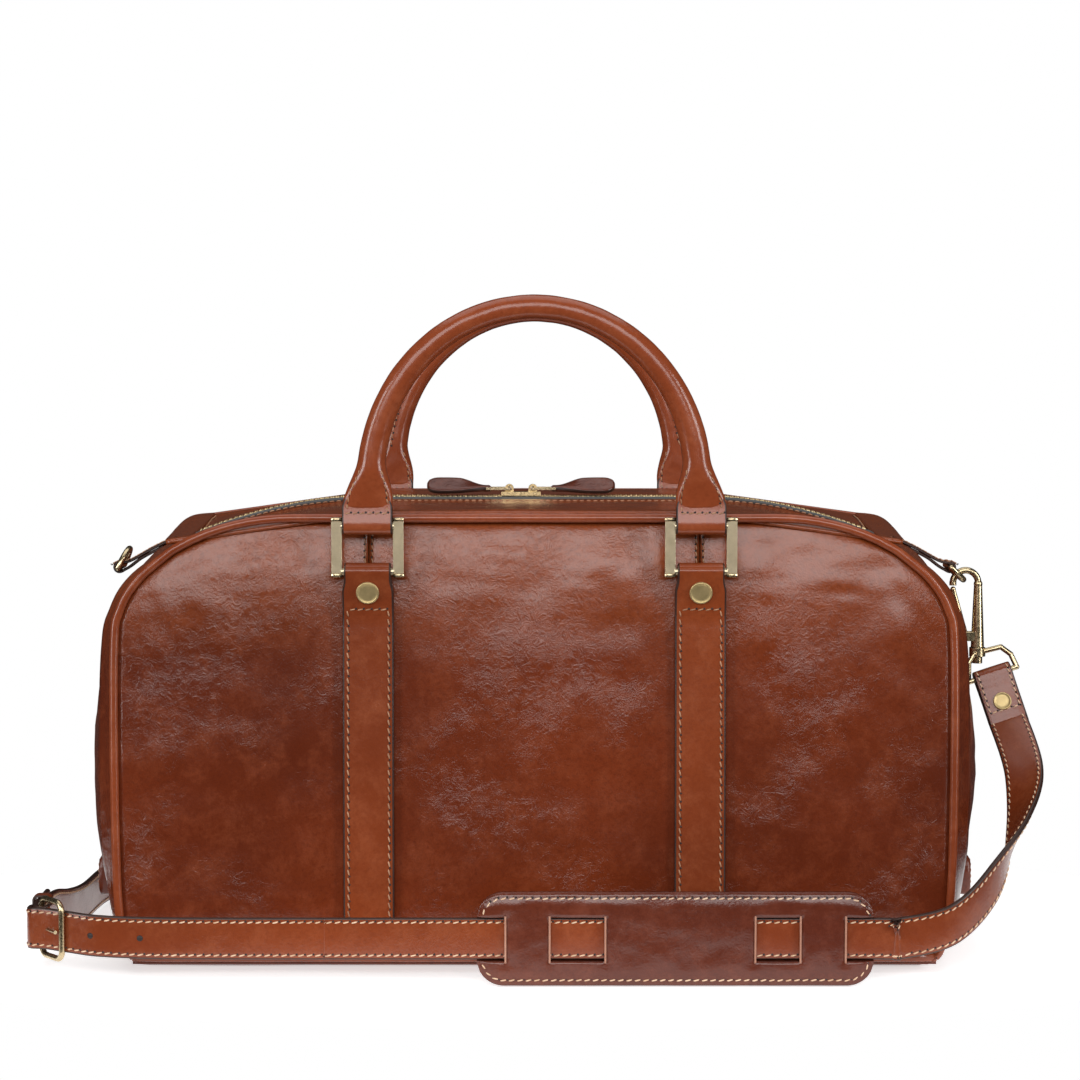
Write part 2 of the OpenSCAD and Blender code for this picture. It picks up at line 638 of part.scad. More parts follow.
// ---- buckle, keeper and pad ----
function buckle_local(p) = buckle_at + [
    p[0] * cos(buckle_yaw) - p[1] * sin(buckle_yaw),
    p[0] * sin(buckle_yaw) + p[1] * cos(buckle_yaw), p[2]];
module buckle_frame() {
    hx = buckle_half[0];
    hz = buckle_half[1];
    r = 5;
    color(antique_brass) translate(buckle_at) rotate([0, 0, buckle_yaw]) rotate([90, 0, 0]) {
        for (s = [-1, 1]) {
            translate([s * hx, 0, 0]) bar_y(2 * (hz - r), buckle_wire);
            translate([0, s * hz, 0]) bar_x(2 * (hx - r), buckle_wire);
        }
        for (q = [0:3])
            translate([(q == 0 || q == 3 ? 1 : -1) * (hx - r), (q < 2 ? 1 : -1) * (hz - r), 0])
                rotate([0, 0, 90 * q]) rotate_extrude(angle = 90, $fn = 64)
                    translate([r, 0]) circle(r = buckle_wire, $fn = 32);
    }
}
module buckle_prong() {
    hx = buckle_half[0];
    color(antique_brass) translate(buckle_at) rotate([0, 0, buckle_yaw]) difference() {
        union() {
            translate([-hx, 0, 0]) cylinder(h = 3, r = buckle_wire + 1.3, center = true, $fn = 32);
            rod([-hx, -1.2, 0], [hx - 1, -3.2, 0], 1);
        }
        translate([-hx, 0, 0]) cylinder(h = 6, r = buckle_wire + 0.2, center = true, $fn = 32);
    }
}
module keeper_loop() {
    color(hide_light) translate([-265.2, -98, 25]) rotate([90, 0, 0]) linear_extrude(8, center = true)
        difference() {
            square([10.2, 26.2], center = true);
            square([7.4, 23.2], center = true);
        }
}
module shoulder_pad() {
    front_y = 3.3;
    back_y = 2.8;
    slot_half = sling_w / 2 + 0.6;
    windows = [[-110, -88.5], [-65.5, -36.5], [41.5, 65], [88.5, 110]];
    color(hide_dark) translate([pad_x, sling_y, sling_z]) difference() {
        translate([0, back_y + 2, 0]) rotate([90, 0, 0])
            linear_extrude(front_y + back_y + 4) round_rect(pad_l / 2, pad_h / 2, 12);
        cube([pad_l + 2, 2 * (sling_t / 2 + 0.6), 2 * slot_half], center = true);
        for (w = windows) translate([w[0], -20, -slot_half]) cube([w[1] - w[0], 20, 2 * slot_half]);
    }
}

color(hide) panel_set(-1, 0);  // front_panel_left
color(hide) panel_set(-1, 1);  // front_panel_centre
color(hide) panel_set(-1, 2);  // front_panel_right
color(hide) panel_set(1, 0);  // back_panel_left
color(hide) panel_set(1, 1);  // back_panel_centre
color(hide) panel_set(1, 2);  // back_panel_right
base_panel();
base_board();
color(hide) end_gusset(-1);  // end_gusset_left
color(hide) end_gusset(1);  // end_gusset_right
color(hide) zip_band(-1);  // zip_band_front
color(hide) zip_band(1);  // zip_band_back
color(tape_black) zip_tape(-1);  // zip_tape_front
color(tape_black) zip_tape(1);  // zip_tape_back
zip_chain();
color(hide_light) piping(-1);  // piping_front
color(hide_light) piping(1);  // piping_back
lining();
color(hide_light) vertical_strap(-1, -strap_x);  // strap_front_left
color(hide_light) vertical_strap(-1, strap_x);  // strap_front_right
color(hide_light) vertical_strap(1, -strap_x);  // strap_back_left
color(hide_light) vertical_strap(1, strap_x);  // strap_back_right
strap_rivets();
color(hide_dark) d_tab(-1);  // d_tab_left
color(hide_dark) d_tab(1);  // d_tab_right
color(hide_dark) end_tab(-1);  // end_tab_left
color(hide_dark) end_tab(1);  // end_tab_right
shoulder_strap_long();
shoulder_strap_short();
strap_end_rivets();
swivel_loop_left();
swivel_loop_right();
handle_ring(-1, -strap_x);  // front_ring_left
handle_ring(-1, strap_x);  // front_ring_right
handle_ring(1, -strap_x);  // back_ring_left
handle_ring(1, strap_x);  // back_ring_right
color(hide_light) handle(-1);  // front_handle
color(hide_light) handle(1);  // back_handle
color(cotton) handle_core(-1);  // front_handle_core
color(cotton) handle_core(1);  // back_handle_core
d_ring(-1, d_angle_left);  // d_ring_left
d_ring(1, d_angle_right);  // d_ring_right
slider(0);  // slider_left
slider(1);  // slider_right
pull_link(0);  // pull_link_left
pull_link(1);  // pull_link_right
pull_tab(0);  // pull_tab_left
pull_tab(1);  // pull_tab_right
at_hook_left() clip_hook();  // clip_hook_left
at_hook_right() clip_hook();  // clip_hook_right
at_hook_left() clip_gate();  // clip_gate_left
at_hook_right() clip_gate();  // clip_gate_right
buckle_frame();
buckle_prong();
keeper_loop();
shoulder_pad();
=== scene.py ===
from math import atan2, copysign, cos, exp, pi, radians, sin, sqrt, tan

import bmesh
import bpy
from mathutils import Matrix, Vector, kdtree, noise


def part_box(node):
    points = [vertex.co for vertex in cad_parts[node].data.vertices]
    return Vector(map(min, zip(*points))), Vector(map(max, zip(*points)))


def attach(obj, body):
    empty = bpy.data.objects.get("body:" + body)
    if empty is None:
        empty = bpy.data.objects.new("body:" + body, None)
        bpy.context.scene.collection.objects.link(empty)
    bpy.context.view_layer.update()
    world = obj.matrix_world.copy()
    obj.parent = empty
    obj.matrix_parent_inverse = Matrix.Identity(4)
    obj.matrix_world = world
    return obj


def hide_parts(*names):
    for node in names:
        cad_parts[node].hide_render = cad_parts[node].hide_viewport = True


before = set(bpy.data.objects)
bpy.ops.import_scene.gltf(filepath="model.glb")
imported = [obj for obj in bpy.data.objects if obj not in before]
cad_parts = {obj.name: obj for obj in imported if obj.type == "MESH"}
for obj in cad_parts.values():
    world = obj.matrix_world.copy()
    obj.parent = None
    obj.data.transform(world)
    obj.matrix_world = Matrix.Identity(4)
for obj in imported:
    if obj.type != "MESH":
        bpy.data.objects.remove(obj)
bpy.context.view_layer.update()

# All sizes below are in millimetres and in the frame's axes; MM turns them into Blender's metres.
MM = 0.001
FACES = ((-1, "front"), (1, "back"))
ENDS = ((-1, "left"), (1, "right"))


def middle(node):
    low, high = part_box(node)
    return (low + high) / (2 * MM)


# ---- sizes of the shell, repeated from the design ----
PANEL_HALF, HALF_DEPTH, FRONT_H, LEAN, PUFF = 226.0, 115.0, 244.0, 10.0, 4.0
PIPING_R = 2.4
CORNER_X, CORNER_Z = 128.0, 176.0
CORNER_RX, CORNER_RZ = PANEL_HALF - CORNER_X, FRONT_H - CORNER_Z
CREST_Z, CREST_FLAT, CREST_DROP, CREST_POWER = 247.0, 100.0, 0.0068, 1.767
BACK_H, BACK_SLOPE, BACK_FLAT, BACK_CORNER, BACK_CORNER_R = 246.0, 0.14, 90.0, (204.0, 212.0), 18.0
FRONT_END = [(195, 225.6), (212, 211), (222.5, 194), (226, 172), (226, 90), (224, 32), (219, 11), (214.6, 5)]
MID_END = [(195, 226), (217, 215), (231, 190), (241, 160), (249, 100), (239.5, 30), (228, 8), (214.6, 2.4)]
BACK_END = [(195, 231.3), (212, 228), (222, 212), (225, 172), (226, 90), (224, 32), (219, 11), (214.6, 5)]
PANEL_SIDE = {
    -1: [(5, 214.6), (11, 219), (32, 224), (90, 226), (260, 226)],
    1: [(5, 214.6), (11, 219), (32, 224), (90, 226), (172, 225), (212, 222), (260, 222)],
}
PANEL_EDGE = 4.2
PANEL_FOOT = 9.2
LEATHER = 2.2
BAND_END = 196.0
TAPE_EDGE, CHAIN_EDGE = 12.6, 2.9

# ---- straps and hardware ----
STRAP_X, STRAP_W = 88.0, 27.0
RING_Y, RING_LOW, RING_HIGH = 115.0, 214.0, 238.0
ARCH_HALF, ARCH_Z, ARCH_RISE, LEG_R, GRIP_R = 86.0, 262.0, 91.5, 7.5, 6.25
TAB_HALF, TAB_THICK = 13.2, 2.9
D_BAR = (236.4, 207.1)
SLING_W, SLING_T, FOLD_R = 22.0, 2.6, 3.2
RIGHT_BAR = Vector((261.5, -5, 145.5))
RIGHT_UP = Vector((-0.27, 0.36, 0.9)).normalized()
RIGHT_ACROSS = Vector((0.95, 0, 0.31)).normalized()
REAR_BAR = Vector((30, 142, 17))
BUCKLE_AT, BUCKLE_YAW, BUCKLE_HALF = Vector((-254, -133.5, 27)), radians(-50), 10.5
SLING_RUN = [
    (-267, -70, 25), (-267, -84, 25), (-267, -98, 25), (-267, -114, 25), (-267.2, -122, 26),
    (-265.6, -129.6, 26.6), (-256.8, -133.5, 27), (-244.6, -139.2, 26.6),
    (-228, -146, 26), (-200, -149, 25.5), (-160, -148.4, 25.1), (-112, -148, 25), (-96, -148, 25),
    (40, -148, 25), (176, -148, 25), (190, -148, 25), (220, -140, 31), (244, -120, 49), (262, -90, 74),
    (271, -55, 98),
]
SLING_ACROSS = [(0, 0, 1)] * 16 + [
    (-0.1, -0.15, 1), (-0.3, -0.5, 0.8), (0.45, -0.55, 0.66), (0.85, -0.3, 0.3),
]
REAR_RUN = [
    (-263.9, -114, 25), (-263.4, -98, 25), (-263.4, -84, 25), (-263, -66, 23), (-261.5, -40, 18),
    (-260, 0, 13), (-256, 60, 12), (-238, 112, 12), (-190, 141, 12), (-110, 146, 12), (-50, 146.5, 13),
    (-5, 146, 16), (12, 145.2, 17),
]
PAD_L, PAD_H, PAD_CORNER = 207.0, 49.0, 14.0
PAD_WINDOWS = [(-110, -88.5), (-65.5, -36.5), (41.5, 65), (88.5, 110)]
PAD_RIMS = [x for window in PAD_WINDOWS for x in window if abs(x) < PAD_L / 2]


# ---- small maths ----
def mix(a, b, t):
    return a + (b - a) * t


def smooth(t):
    t = max(0.0, min(1.0, t))
    return t * t * (3 - 2 * t)


def bell(d, width):
    return exp(-(d / width) ** 2)


def spline(points, t):
    """Smooth curve through points, at t from 0 to 1."""
    n = len(points) - 1
    s = min(t * n, n - 1e-6)
    i = int(s)
    f = s - i
    a, b, c, d = (Vector(points[k]) for k in (max(i - 1, 0), i, i + 1, min(i + 2, n)))
    low = 2 * b + (c - a) * f + (2 * a - 5 * b + 4 * c - d) * f * f
    return 0.5 * (low + (3 * b - a - 3 * c + d) * f ** 3)


def curve(points, count):
    """A list of points along the smooth curve, in count equal steps."""
    return [spline(points, i / count) for i in range(count + 1)]


def between(table, x):
    """Straight-line reading of a table of (x, value)."""
    for (x0, v0), (x1, v1) in zip(table, table[1:]):
        if x <= x1:
            return mix(v0, v1, max(0.0, (x - x0) / (x1 - x0)))
    return table[-1][1]


def circle(x, y, r, degrees):
    return [(x + r * cos(radians(d)), y + r * sin(radians(d))) for d in degrees]


def across(front, mid, back, t):
    return front * (t * t - t) / 2 + mid * (1 - t * t) + back * (t * t + t) / 2


def wrinkle(x, y, z, seed):
    return noise.noise(Vector((x + 100.37, y + 100.61, z + 17.3 * seed + 100.13)))


# ---- shell surface ----
def edge_y(z):
    return HALF_DEPTH - LEAN * z / FRONT_H


def swell(x, z):
    return PUFF * max(0, 1 - (x / PANEL_HALF) ** 2) * sin(pi * min(1, max(0, z / FRONT_H)))


def front_top(x):
    if abs(x) <= CORNER_X:
        return FRONT_H
    return CORNER_Z + CORNER_RZ * sqrt(max(0, 1 - ((abs(x) - CORNER_X) / CORNER_RX) ** 2))


def mid_top(x):
    return CREST_Z - CREST_DROP * max(0, abs(x) - CREST_FLAT) ** CREST_POWER


def back_top(x):
    if abs(x) <= BACK_CORNER[0]:
        return BACK_H - BACK_SLOPE * max(0, abs(x) - BACK_FLAT)
    return BACK_CORNER[1] + sqrt(max(0, BACK_CORNER_R ** 2 - (abs(x) - BACK_CORNER[0]) ** 2))


def top_z(x, t):
    return across(front_top(x), mid_top(x), back_top(x), t)


def outline(side):
    """Closed outline of a big panel, as (x, z), from the middle of the top clockwise."""
    ends = FRONT_END if side < 0 else BACK_END
    top = front_top if side < 0 else back_top
    right = [Vector((x, top(x))) for x in range(0, 193, 8)]
    right += curve(ends, 60)
    right += [Vector((x, 4.8)) for x in range(200, -1, -10)]
    return right + [Vector((-p.x, p.y)) for p in right[-2:0:-1]]


def outline_tree(side):
    loop = outline(side)
    tree = kdtree.KDTree(len(loop) * 6)
    for i, p in enumerate(loop):
        q = loop[(i + 1) % len(loop)]
        for k in range(6):
            tree.insert(p.lerp(q, k / 6).to_3d(), i * 6 + k)
    tree.balance()
    return tree


TREES = {side: outline_tree(side) for side in (-1, 1)}


def strap_clear(x):
    """0 under a vertical strap, 1 well away from it."""
    return smooth((abs(abs(x) - STRAP_X) - 14.5) / 22)


def panel_out(side, x, z):
    """How far the leather of a big panel stands out from the middle plane of the bag."""
    d = TREES[side].find(Vector((x, z, 0)))[2]
    seed = 3 + side
    clear = strap_clear(x)
    out = edge_y(z) + swell(x, z) - 2.6 * (1 - smooth(d / 8))
    out += clear * smooth((d - 2) / 30) * (2.2 + 1.3 * wrinkle(x * 0.013, z * 0.016, 0, seed))
    out += clear * smooth((d - 4) / 16) * 0.9 * wrinkle(x * 0.04, z * 0.05, 2, seed)
    top = smooth((z - 178) / 40) * smooth((d - 3) / 12)
    fine = 0.7 * wrinkle(x * 0.035, z * 0.14, 5, seed) + 0.25 * wrinkle(x * 0.1, z * 0.3, 7, seed)
    out += clear * top * fine
    out -= 3.5 * (max(0.0, z - 188) / 56) ** 2
    side_crease = smooth((abs(x) - 150) / 50) * smooth((d - 4) / 12)
    out += side_crease * 0.55 * wrinkle(x * 0.09 + z * 0.03, z * 0.05, 9, seed)
    return out - 0.9 * bell(abs(x) - STRAP_X, 1.5) - 0.35 * bell(abs(abs(x) - STRAP_X) - 3.5, 1.5)


# ---- materials ----
class Graph:
    """Shader nodes whose inputs are constants or the outputs of other nodes."""

    def __init__(self, owner):
        owner.use_nodes = True
        self.owner, self.tree = owner, owner.node_tree

    def feed(self, value, socket):
        if isinstance(value, bpy.types.NodeSocket):
            self.tree.links.new(value, socket)
        else:
            socket.default_value = value

    def node(self, kind, output, inputs, **settings):
        made = self.tree.nodes.new("ShaderNode" + kind)
        for key, value in settings.items():
            setattr(made, key, value)
        for key, value in inputs.items():
            self.feed(value, made.inputs[key])
        return made.outputs[output]

    def coords(self):
        return self.node("TexCoord", "Object", {})

    def noise(self, at, scale, detail, rough=0.6, distortion=0.0):
        return self.node("TexNoise", "Fac", {
            "Vector": at, "Scale": scale, "Detail": detail, "Roughness": rough, "Distortion": distortion})

    def range(self, value, low, high, to_low=0.0, to_high=1.0):
        return self.node("MapRange", "Result", {
            "Value": value, "From Min": low, "From Max": high, "To Min": to_low, "To Max": to_high})

    def mix(self, factor, a, b):
        a, b = ((*c, 1) if isinstance(c, tuple) else c for c in (a, b))
        return self.node("Mix", 2, {0: factor, 6: a, 7: b}, data_type="RGBA")

    def maths(self, operation, *values):
        return self.node("Math", 0, dict(enumerate(values)), operation=operation)

    def bump(self, height, distance, strength, **normal):
        return self.node("Bump", "Normal", {
            "Height": height, "Distance": distance, "Strength": strength, **normal})

    def finish(self, inputs):
        """Feed the material's surface shader and give the material back."""
        for key, value in inputs.items():
            self.feed(value, self.tree.nodes["Principled BSDF"].inputs[key])
        return self.owner


def new_material(name):
    return Graph(bpy.data.materials.new(name))


def leather(name, deep, base, glow, crease=1.0, grain=1.0, rough=0.23, coat=0.12, painted_top_light=None):
    """Waxed, hand-stained hide: cloudy colour, fine grain and patches of soft creases.

    The paler colour given last is a painted highlight: the upper part of the piece fades to it, standing in
    for the light that falls on its top.
    """
    g = new_material(name)
    place = g.coords()
    at = g.node("Mapping", "Vector", {
        "Vector": place, "Location": (0.371, 0.613, 0.137), "Rotation": (0.4, 0.3, 0.5)})
    clouds = g.noise(at, 7, 4, 0.5)
    mottle = g.noise(at, 75, 6, 0.72, 0.3)
    speck = g.noise(at, 420, 4, 0.7)
    colour = g.mix(g.range(clouds, 0.3, 0.7), deep, base)
    colour = g.mix(g.range(mottle, 0.46, 0.78, 0, 0.5), colour, glow)
    # painted highlight: the upper part of the piece turns paler with height, standing in for the light
    # falling on its top
    if painted_top_light:
        height = g.node("SeparateXYZ", "Z", {"Vector": place})
        colour = g.mix(g.range(height, 0.165, 0.225, 0, 0.75), colour, painted_top_light)
    colour = g.mix(g.range(speck, 0.46, 0.72, 0, 0.5), colour, deep)
    pores = g.node("TexVoronoi", "Distance", {"Vector": at, "Scale": 950}, feature="SMOOTH_F1")
    fold = g.maths("ABSOLUTE", g.maths("SUBTRACT", g.noise(at, 150, 5, 0.62, 1.4), 0.5))
    patches = g.range(g.noise(at, 16, 2, 0.5), 0.42, 0.66, 0.12, 1.0)
    normal = g.bump(pores, 0.00009 * grain, 0.5)
    normal = g.bump(g.maths("MULTIPLY", fold, patches), 0.0010 * crease, 0.8, Normal=normal)
    normal = g.bump(mottle, 0.0003 * crease, 0.6, Normal=normal)
    return g.finish({
        "Base Color": colour, "Roughness": g.range(mottle, 0.3, 0.75, rough - 0.04, rough + 0.05),
        "Normal": normal, "Coat Normal": normal, "Coat Weight": coat, "Coat Roughness": 0.13,
        "Specular IOR Level": 0.4,
    })


def brass(name, bright, dull, rough=0.3, brushed=(60, 60, 60)):
    """Antique brass: a brushed, slightly tarnished metal."""
    g = new_material(name)
    at = g.coords()
    lines = g.noise(g.node("Mapping", "Vector", {"Vector": at, "Scale": brushed}), 12, 4, 0.7)
    tarnish = g.range(g.noise(at, 170, 5, 0.65), 0.36, 0.7, 0, 0.65)
    edge = g.node("Bevel", "Normal", {"Radius": 0.0004})
    return g.finish({
        "Base Color": g.mix(tarnish, bright, dull), "Metallic": 1.0,
        "Roughness": g.range(lines, 0.3, 0.7, rough - 0.07, rough + 0.1),
        "Normal": g.bump(lines, 0.00006, 0.5, Normal=edge),
    })


def woven(name, dark, light, pitch, rough=0.85):
    """Woven cloth or tape, its two sets of threads crossing at the given pitch in millimetres."""
    g = new_material(name)
    at = g.coords()
    scale = 1000 / pi / pitch
    weave = g.maths("MULTIPLY", *(
        g.node("TexWave", "Fac", {"Vector": at, "Scale": scale, "Distortion": 0.4}, bands_direction=direction)
        for direction in ("X", "Y")))
    fluff = g.range(g.noise(at, 300, 4), 0.4, 0.8, 0, 0.5)
    return g.finish({
        "Base Color": g.mix(fluff, g.mix(weave, dark, light), dark), "Normal": g.bump(weave, 0.0002, 0.8),
        "Roughness": rough, "Sheen Weight": 0.15,
    })


def thread(name, light, dark):
    """Waxed twisted thread."""
    g = new_material(name)
    at = g.coords()
    return g.finish({
        "Base Color": g.mix(g.range(g.noise(at, 90, 3), 0.35, 0.7), light, dark),
        "Normal": g.bump(g.noise(at, 900, 3), 0.0002, 0.6), "Roughness": 0.55,
    })


# the body leather's last colour is a painted highlight for the lit band along the top of the panels
HIDE = leather("body_leather", (0.078, 0.0125, 0.004), (0.152, 0.026, 0.007), (0.24, 0.055, 0.019),
               painted_top_light=(0.25, 0.055, 0.014))
STRAP = leather("strap_leather",
                (0.140, 0.026, 0.008), (0.225, 0.046, 0.013), (0.31, 0.084, 0.031), 0.35, 0.8)
TRIM = leather("handle_leather",
               (0.165, 0.032, 0.010), (0.265, 0.056, 0.018), (0.36, 0.100, 0.040), 0.25, 0.6)
DARK = leather("dark_leather", (0.064, 0.012, 0.006), (0.120, 0.026, 0.012), (0.19, 0.050, 0.026), 0.8, 1.0)
EDGE = leather("burnished_edge",
               (0.020, 0.007, 0.004), (0.035, 0.012, 0.007), (0.05, 0.018, 0.010), 0.2, 0.6, 0.45)
SLOT_RIM = leather("worn_rim",
                   (0.30, 0.130, 0.080), (0.42, 0.210, 0.140), (0.50, 0.28, 0.20), 0.2, 0.5, 0.5, 0.1)
PLATE = brass("brushed_brass", (0.74, 0.61, 0.41), (0.55, 0.45, 0.28), 0.34, (900, 900, 30))
WIRE = brass("antique_brass", (0.62, 0.50, 0.31), (0.36, 0.27, 0.15), 0.24)
RIVET = brass("rivet_brass", (0.62, 0.48, 0.24), (0.42, 0.32, 0.15), 0.5, (300, 300, 300))
TEETH = brass("zip_brass", (0.72, 0.55, 0.30), (0.45, 0.33, 0.16), 0.28)
TAPE = woven("zip_tape", (0.006, 0.005, 0.005), (0.028, 0.022, 0.020), 1.1)
COTTON = woven("cotton_lining", (0.20, 0.145, 0.09), (0.38, 0.29, 0.19), 0.9)
BOARD = woven("stiffener_board", (0.10, 0.09, 0.08), (0.17, 0.16, 0.14), 2.4, 0.95)
CREAM = thread("cream_thread", (0.74, 0.53, 0.36), (0.55, 0.34, 0.20))
TAN = thread("tan_thread", (0.46, 0.25, 0.14), (0.27, 0.12, 0.06))
# near-black finish for the needle and strap holes: painted shade of the hollows inside the holes
HOLE_SHADE = thread("needle_hole", (0.010, 0.004, 0.003), (0.018, 0.007, 0.005))


# ---- mesh making ----
def add_object(name, data):
    obj = bpy.data.objects.new(name, data)
    bpy.context.scene.collection.objects.link(obj)
    return obj


def piece(name, points, faces, body, materials, indices=None, cad=(), thick=0.0, outward=None):
    """A smooth mesh piece, in millimetres, riding a body; thick gives an open sheet its thickness."""
    mesh = bpy.data.meshes.new(name)
    mesh.from_pydata([Vector(p) * MM for p in points], [], faces)
    for mat in materials:
        mesh.materials.append(mat)
    if indices:
        mesh.polygons.foreach_set("material_index", indices)
    work = bmesh.new()
    work.from_mesh(mesh)
    if outward is None:
        bmesh.ops.recalc_face_normals(work, faces=work.faces)
    elif sum((f.normal * f.calc_area() for f in work.faces), Vector()).dot(Vector(outward)) < 0:
        bmesh.ops.reverse_faces(work, faces=work.faces)
    work.to_mesh(mesh)
    work.free()
    mesh.polygons.foreach_set("use_smooth", [True] * len(mesh.polygons))
    obj = add_object(name, mesh)
    if thick:
        shell = obj.modifiers.new("thickness", "SOLIDIFY")
        shell.thickness = thick * MM
        shell.offset = -1
    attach(obj, body)
    if cad:
        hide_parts(*cad)
    return obj


def grid_faces(rows, cols, loop_rows=False, loop_cols=False):
    faces = []
    for i in range(rows if loop_rows else rows - 1):
        for j in range(cols if loop_cols else cols - 1):
            i2, j2 = (i + 1) % rows, (j + 1) % cols
            faces.append((i * cols + j, i2 * cols + j, i2 * cols + j2, i * cols + j2))
    return faces


def sheet(name, rows, body, material, cad=(), thick=LEATHER, outward=(0, 0, 1)):
    points = [p for row in rows for p in row]
    faces = grid_faces(len(rows), len(rows[0]))
    return piece(name, points, faces, body, [material], None, cad, thick, outward)


def hide(node, rows, thick=LEATHER, outward=(0, 0, 1)):
    """A sheet of body leather that replaces a node."""
    sheet(node + "_leather", rows, "bag", HIDE, (node,), thick, outward)


def skin(name, rings, body, materials, cad=(), indices=None, closed=False):
    """A piece skinned over rings of points, either joined end to end or capped at both ends."""
    size = len(rings[0])
    faces = grid_faces(len(rings), size, closed, True)
    if not closed:
        faces += [tuple(range(size)), tuple(range((len(rings) - 1) * size, len(rings) * size))]
    return piece(name, [p for ring in rings for p in ring], faces, body, materials, indices, cad)


def frames(path, dirs, closed=False):
    """For each point of a path: the point, the unit vector across the strap and the one out of its face."""
    n = len(path)
    result = []
    for i in range(n):
        a = path[(i + 1) % n] if closed else path[min(i + 1, n - 1)]
        b = path[i - 1] if closed else path[max(i - 1, 0)]
        v = (a - b).normalized()
        out = v.cross(dirs[i]).normalized()
        result.append((path[i], out.cross(v).normalized(), out))
    return result


def strap_section(w, t):
    """Rounded section of a leather strap as (across, out), and whether each side of it is a cut edge."""
    r = min(t / 2, 0.9)
    spots, edges = [], []
    for sx, sy in ((1, -1), (1, 1), (-1, 1), (-1, -1)):
        start = {(1, -1): -90, (1, 1): 0, (-1, 1): 90, (-1, -1): 180}[(sx, sy)]
        for k in range(4):
            a = radians(start + 30 * k)
            spots.append((sx * (w / 2 - r) + r * cos(a), sy * (t / 2 - r) + r * sin(a)))
            edges.append(True)
        if (sx, sy) in ((1, 1), (-1, -1)):
            for u in (0.62, 0.31, 0.0, -0.31, -0.62):
                spots.append((sx * u * w / 2, sy * (t / 2 + 0.12 * (1 - u * u))))
                edges.append(False)
            edges[-6] = False
    return spots, edges


def ribbon(name, path, dirs, w, t, body, materials, cad=(), closed=False, widths=None):
    """A leather strap along a path; materials are its face and its cut edge."""
    rings = []
    for i, (p, a, n) in enumerate(frames(path, dirs, closed)):
        spots, edges = strap_section(widths[i] if widths else w, t)
        rings.append([p + a * x + n * y for x, y in spots])
    side = [int(edge) for edge in edges] * (len(rings) - (not closed)) + [1, 1] * (not closed)
    return skin(name, rings, body, materials, cad, side, closed)


class Batch:
    """Many small closed shapes that make one piece."""

    def __init__(self):
        self.points, self.faces = [], []

    def add(self, rings):
        start, size = len(self.points), len(rings[0])
        self.points += [p for ring in rings for p in ring]
        self.faces += [tuple(start + k for k in f) for f in grid_faces(len(rings), size, False, True)]
        for first in (start, start + (len(rings) - 1) * size):
            self.faces.append(tuple(range(first, first + size)))

    def build(self, name, body, slot, material, cad=()):
        return piece(name, self.points, self.faces, body, [material], None, cad)


def lengths(path):
    total, marks = 0.0, [0.0]
    for a, b in zip(path, path[1:]):
        total += (b - a).length
        marks.append(total)
    return marks


def hexagon(centre, u, v, radius):
    return [centre + (u * cos(a) + v * sin(a)) * radius for a in (radians(60 * q) for q in range(6))]


class Seams:
    """Saddle stitches and the needle holes between them, as two pieces; the holes are near-black marks of
    painted shade.
    """

    def __init__(self):
        self.thread, self.holes = Batch(), Batch()

    def sew(self, path, normals, pitch=4.4, radius=0.42, slant=0.25):
        """One row of stitches along a path that lies on a surface with the given normals."""
        marks = lengths(path)
        count = max(1, round(marks[-1] / pitch))
        step = marks[-1] / count
        half = 0.36 * step
        i = 0
        for k in range(count):
            s = (k + 0.5) * step
            while i < len(path) - 2 and marks[i + 1] < s:
                i += 1
            f = (s - marks[i]) / max(1e-9, marks[i + 1] - marks[i])
            p = path[i].lerp(path[i + 1], f)
            n = normals[i].lerp(normals[i + 1], f).normalized()
            v = (path[i + 1] - path[i]).normalized()
            v = (v + slant * n.cross(v).normalized()).normalized()
            b = n.cross(v).normalized()
            rings = []
            for u, size, lift in ((-1.0, 0.35, -0.25), (-0.72, 0.85, 0.08), (-0.25, 1.0, 0.22),
                                  (0.25, 1.0, 0.22), (0.72, 0.85, 0.08), (1.0, 0.35, -0.25)):
                c = p + v * (u * half) + n * (lift * radius * 1.6)
                rings.append(hexagon(c, b, n, radius * size))
            self.thread.add(rings)
            c = p + v * (0.5 * step)
            # near-black prisms between the stitches: painted shade in the needle holes
            self.holes.add([hexagon(c + n * lift, b, v, 0.62) for lift in (-0.3, 0.04)])

    def build(self, name, body, material, slot="strap_leather"):
        """Make both pieces; the holes take the name of the stitches."""
        self.thread.build(name, body, slot, material)
        self.holes.build(name.replace("stitches", "needle_holes"), body, "dark_leather", HOLE_SHADE)


def tube(rings_path, radius, sides, closed=False, wobble=0.0):
    rings = []
    n = len(rings_path)
    for i, p in enumerate(rings_path):
        a = rings_path[(i + 1) % n] if closed else rings_path[min(i + 1, n - 1)]
        b = rings_path[i - 1] if closed else rings_path[max(i - 1, 0)]
        v = (a - b).normalized()
        side = v.cross(Vector((0, 1, 0)))
        side = (side if side.length > 1e-3 else Vector((1, 0, 0))).normalized()
        up = side.cross(v).normalized()
        r = radius + wobble * wrinkle(p.x * 0.05, p.y * 0.05, p.z * 0.05, 4)
        rings.append([p + (side * cos(t) + up * sin(t)) * r
                      for t in (2 * pi * k / sides for k in range(sides))])
    return rings


def lathe(batch, centre, axis, profile, sides=40):
    """A turned shape: profile is (radius, height along the axis)."""
    axis = axis.normalized()
    side = axis.cross(Vector((1, 0, 0)) if abs(axis.x) < 0.9 else Vector((0, 1, 0))).normalized()
    up = axis.cross(side)
    batch.add([[centre + axis * h + (side * cos(a) + up * sin(a)) * r
                for a in (2 * pi * k / sides for k in range(sides))] for r, h in profile])


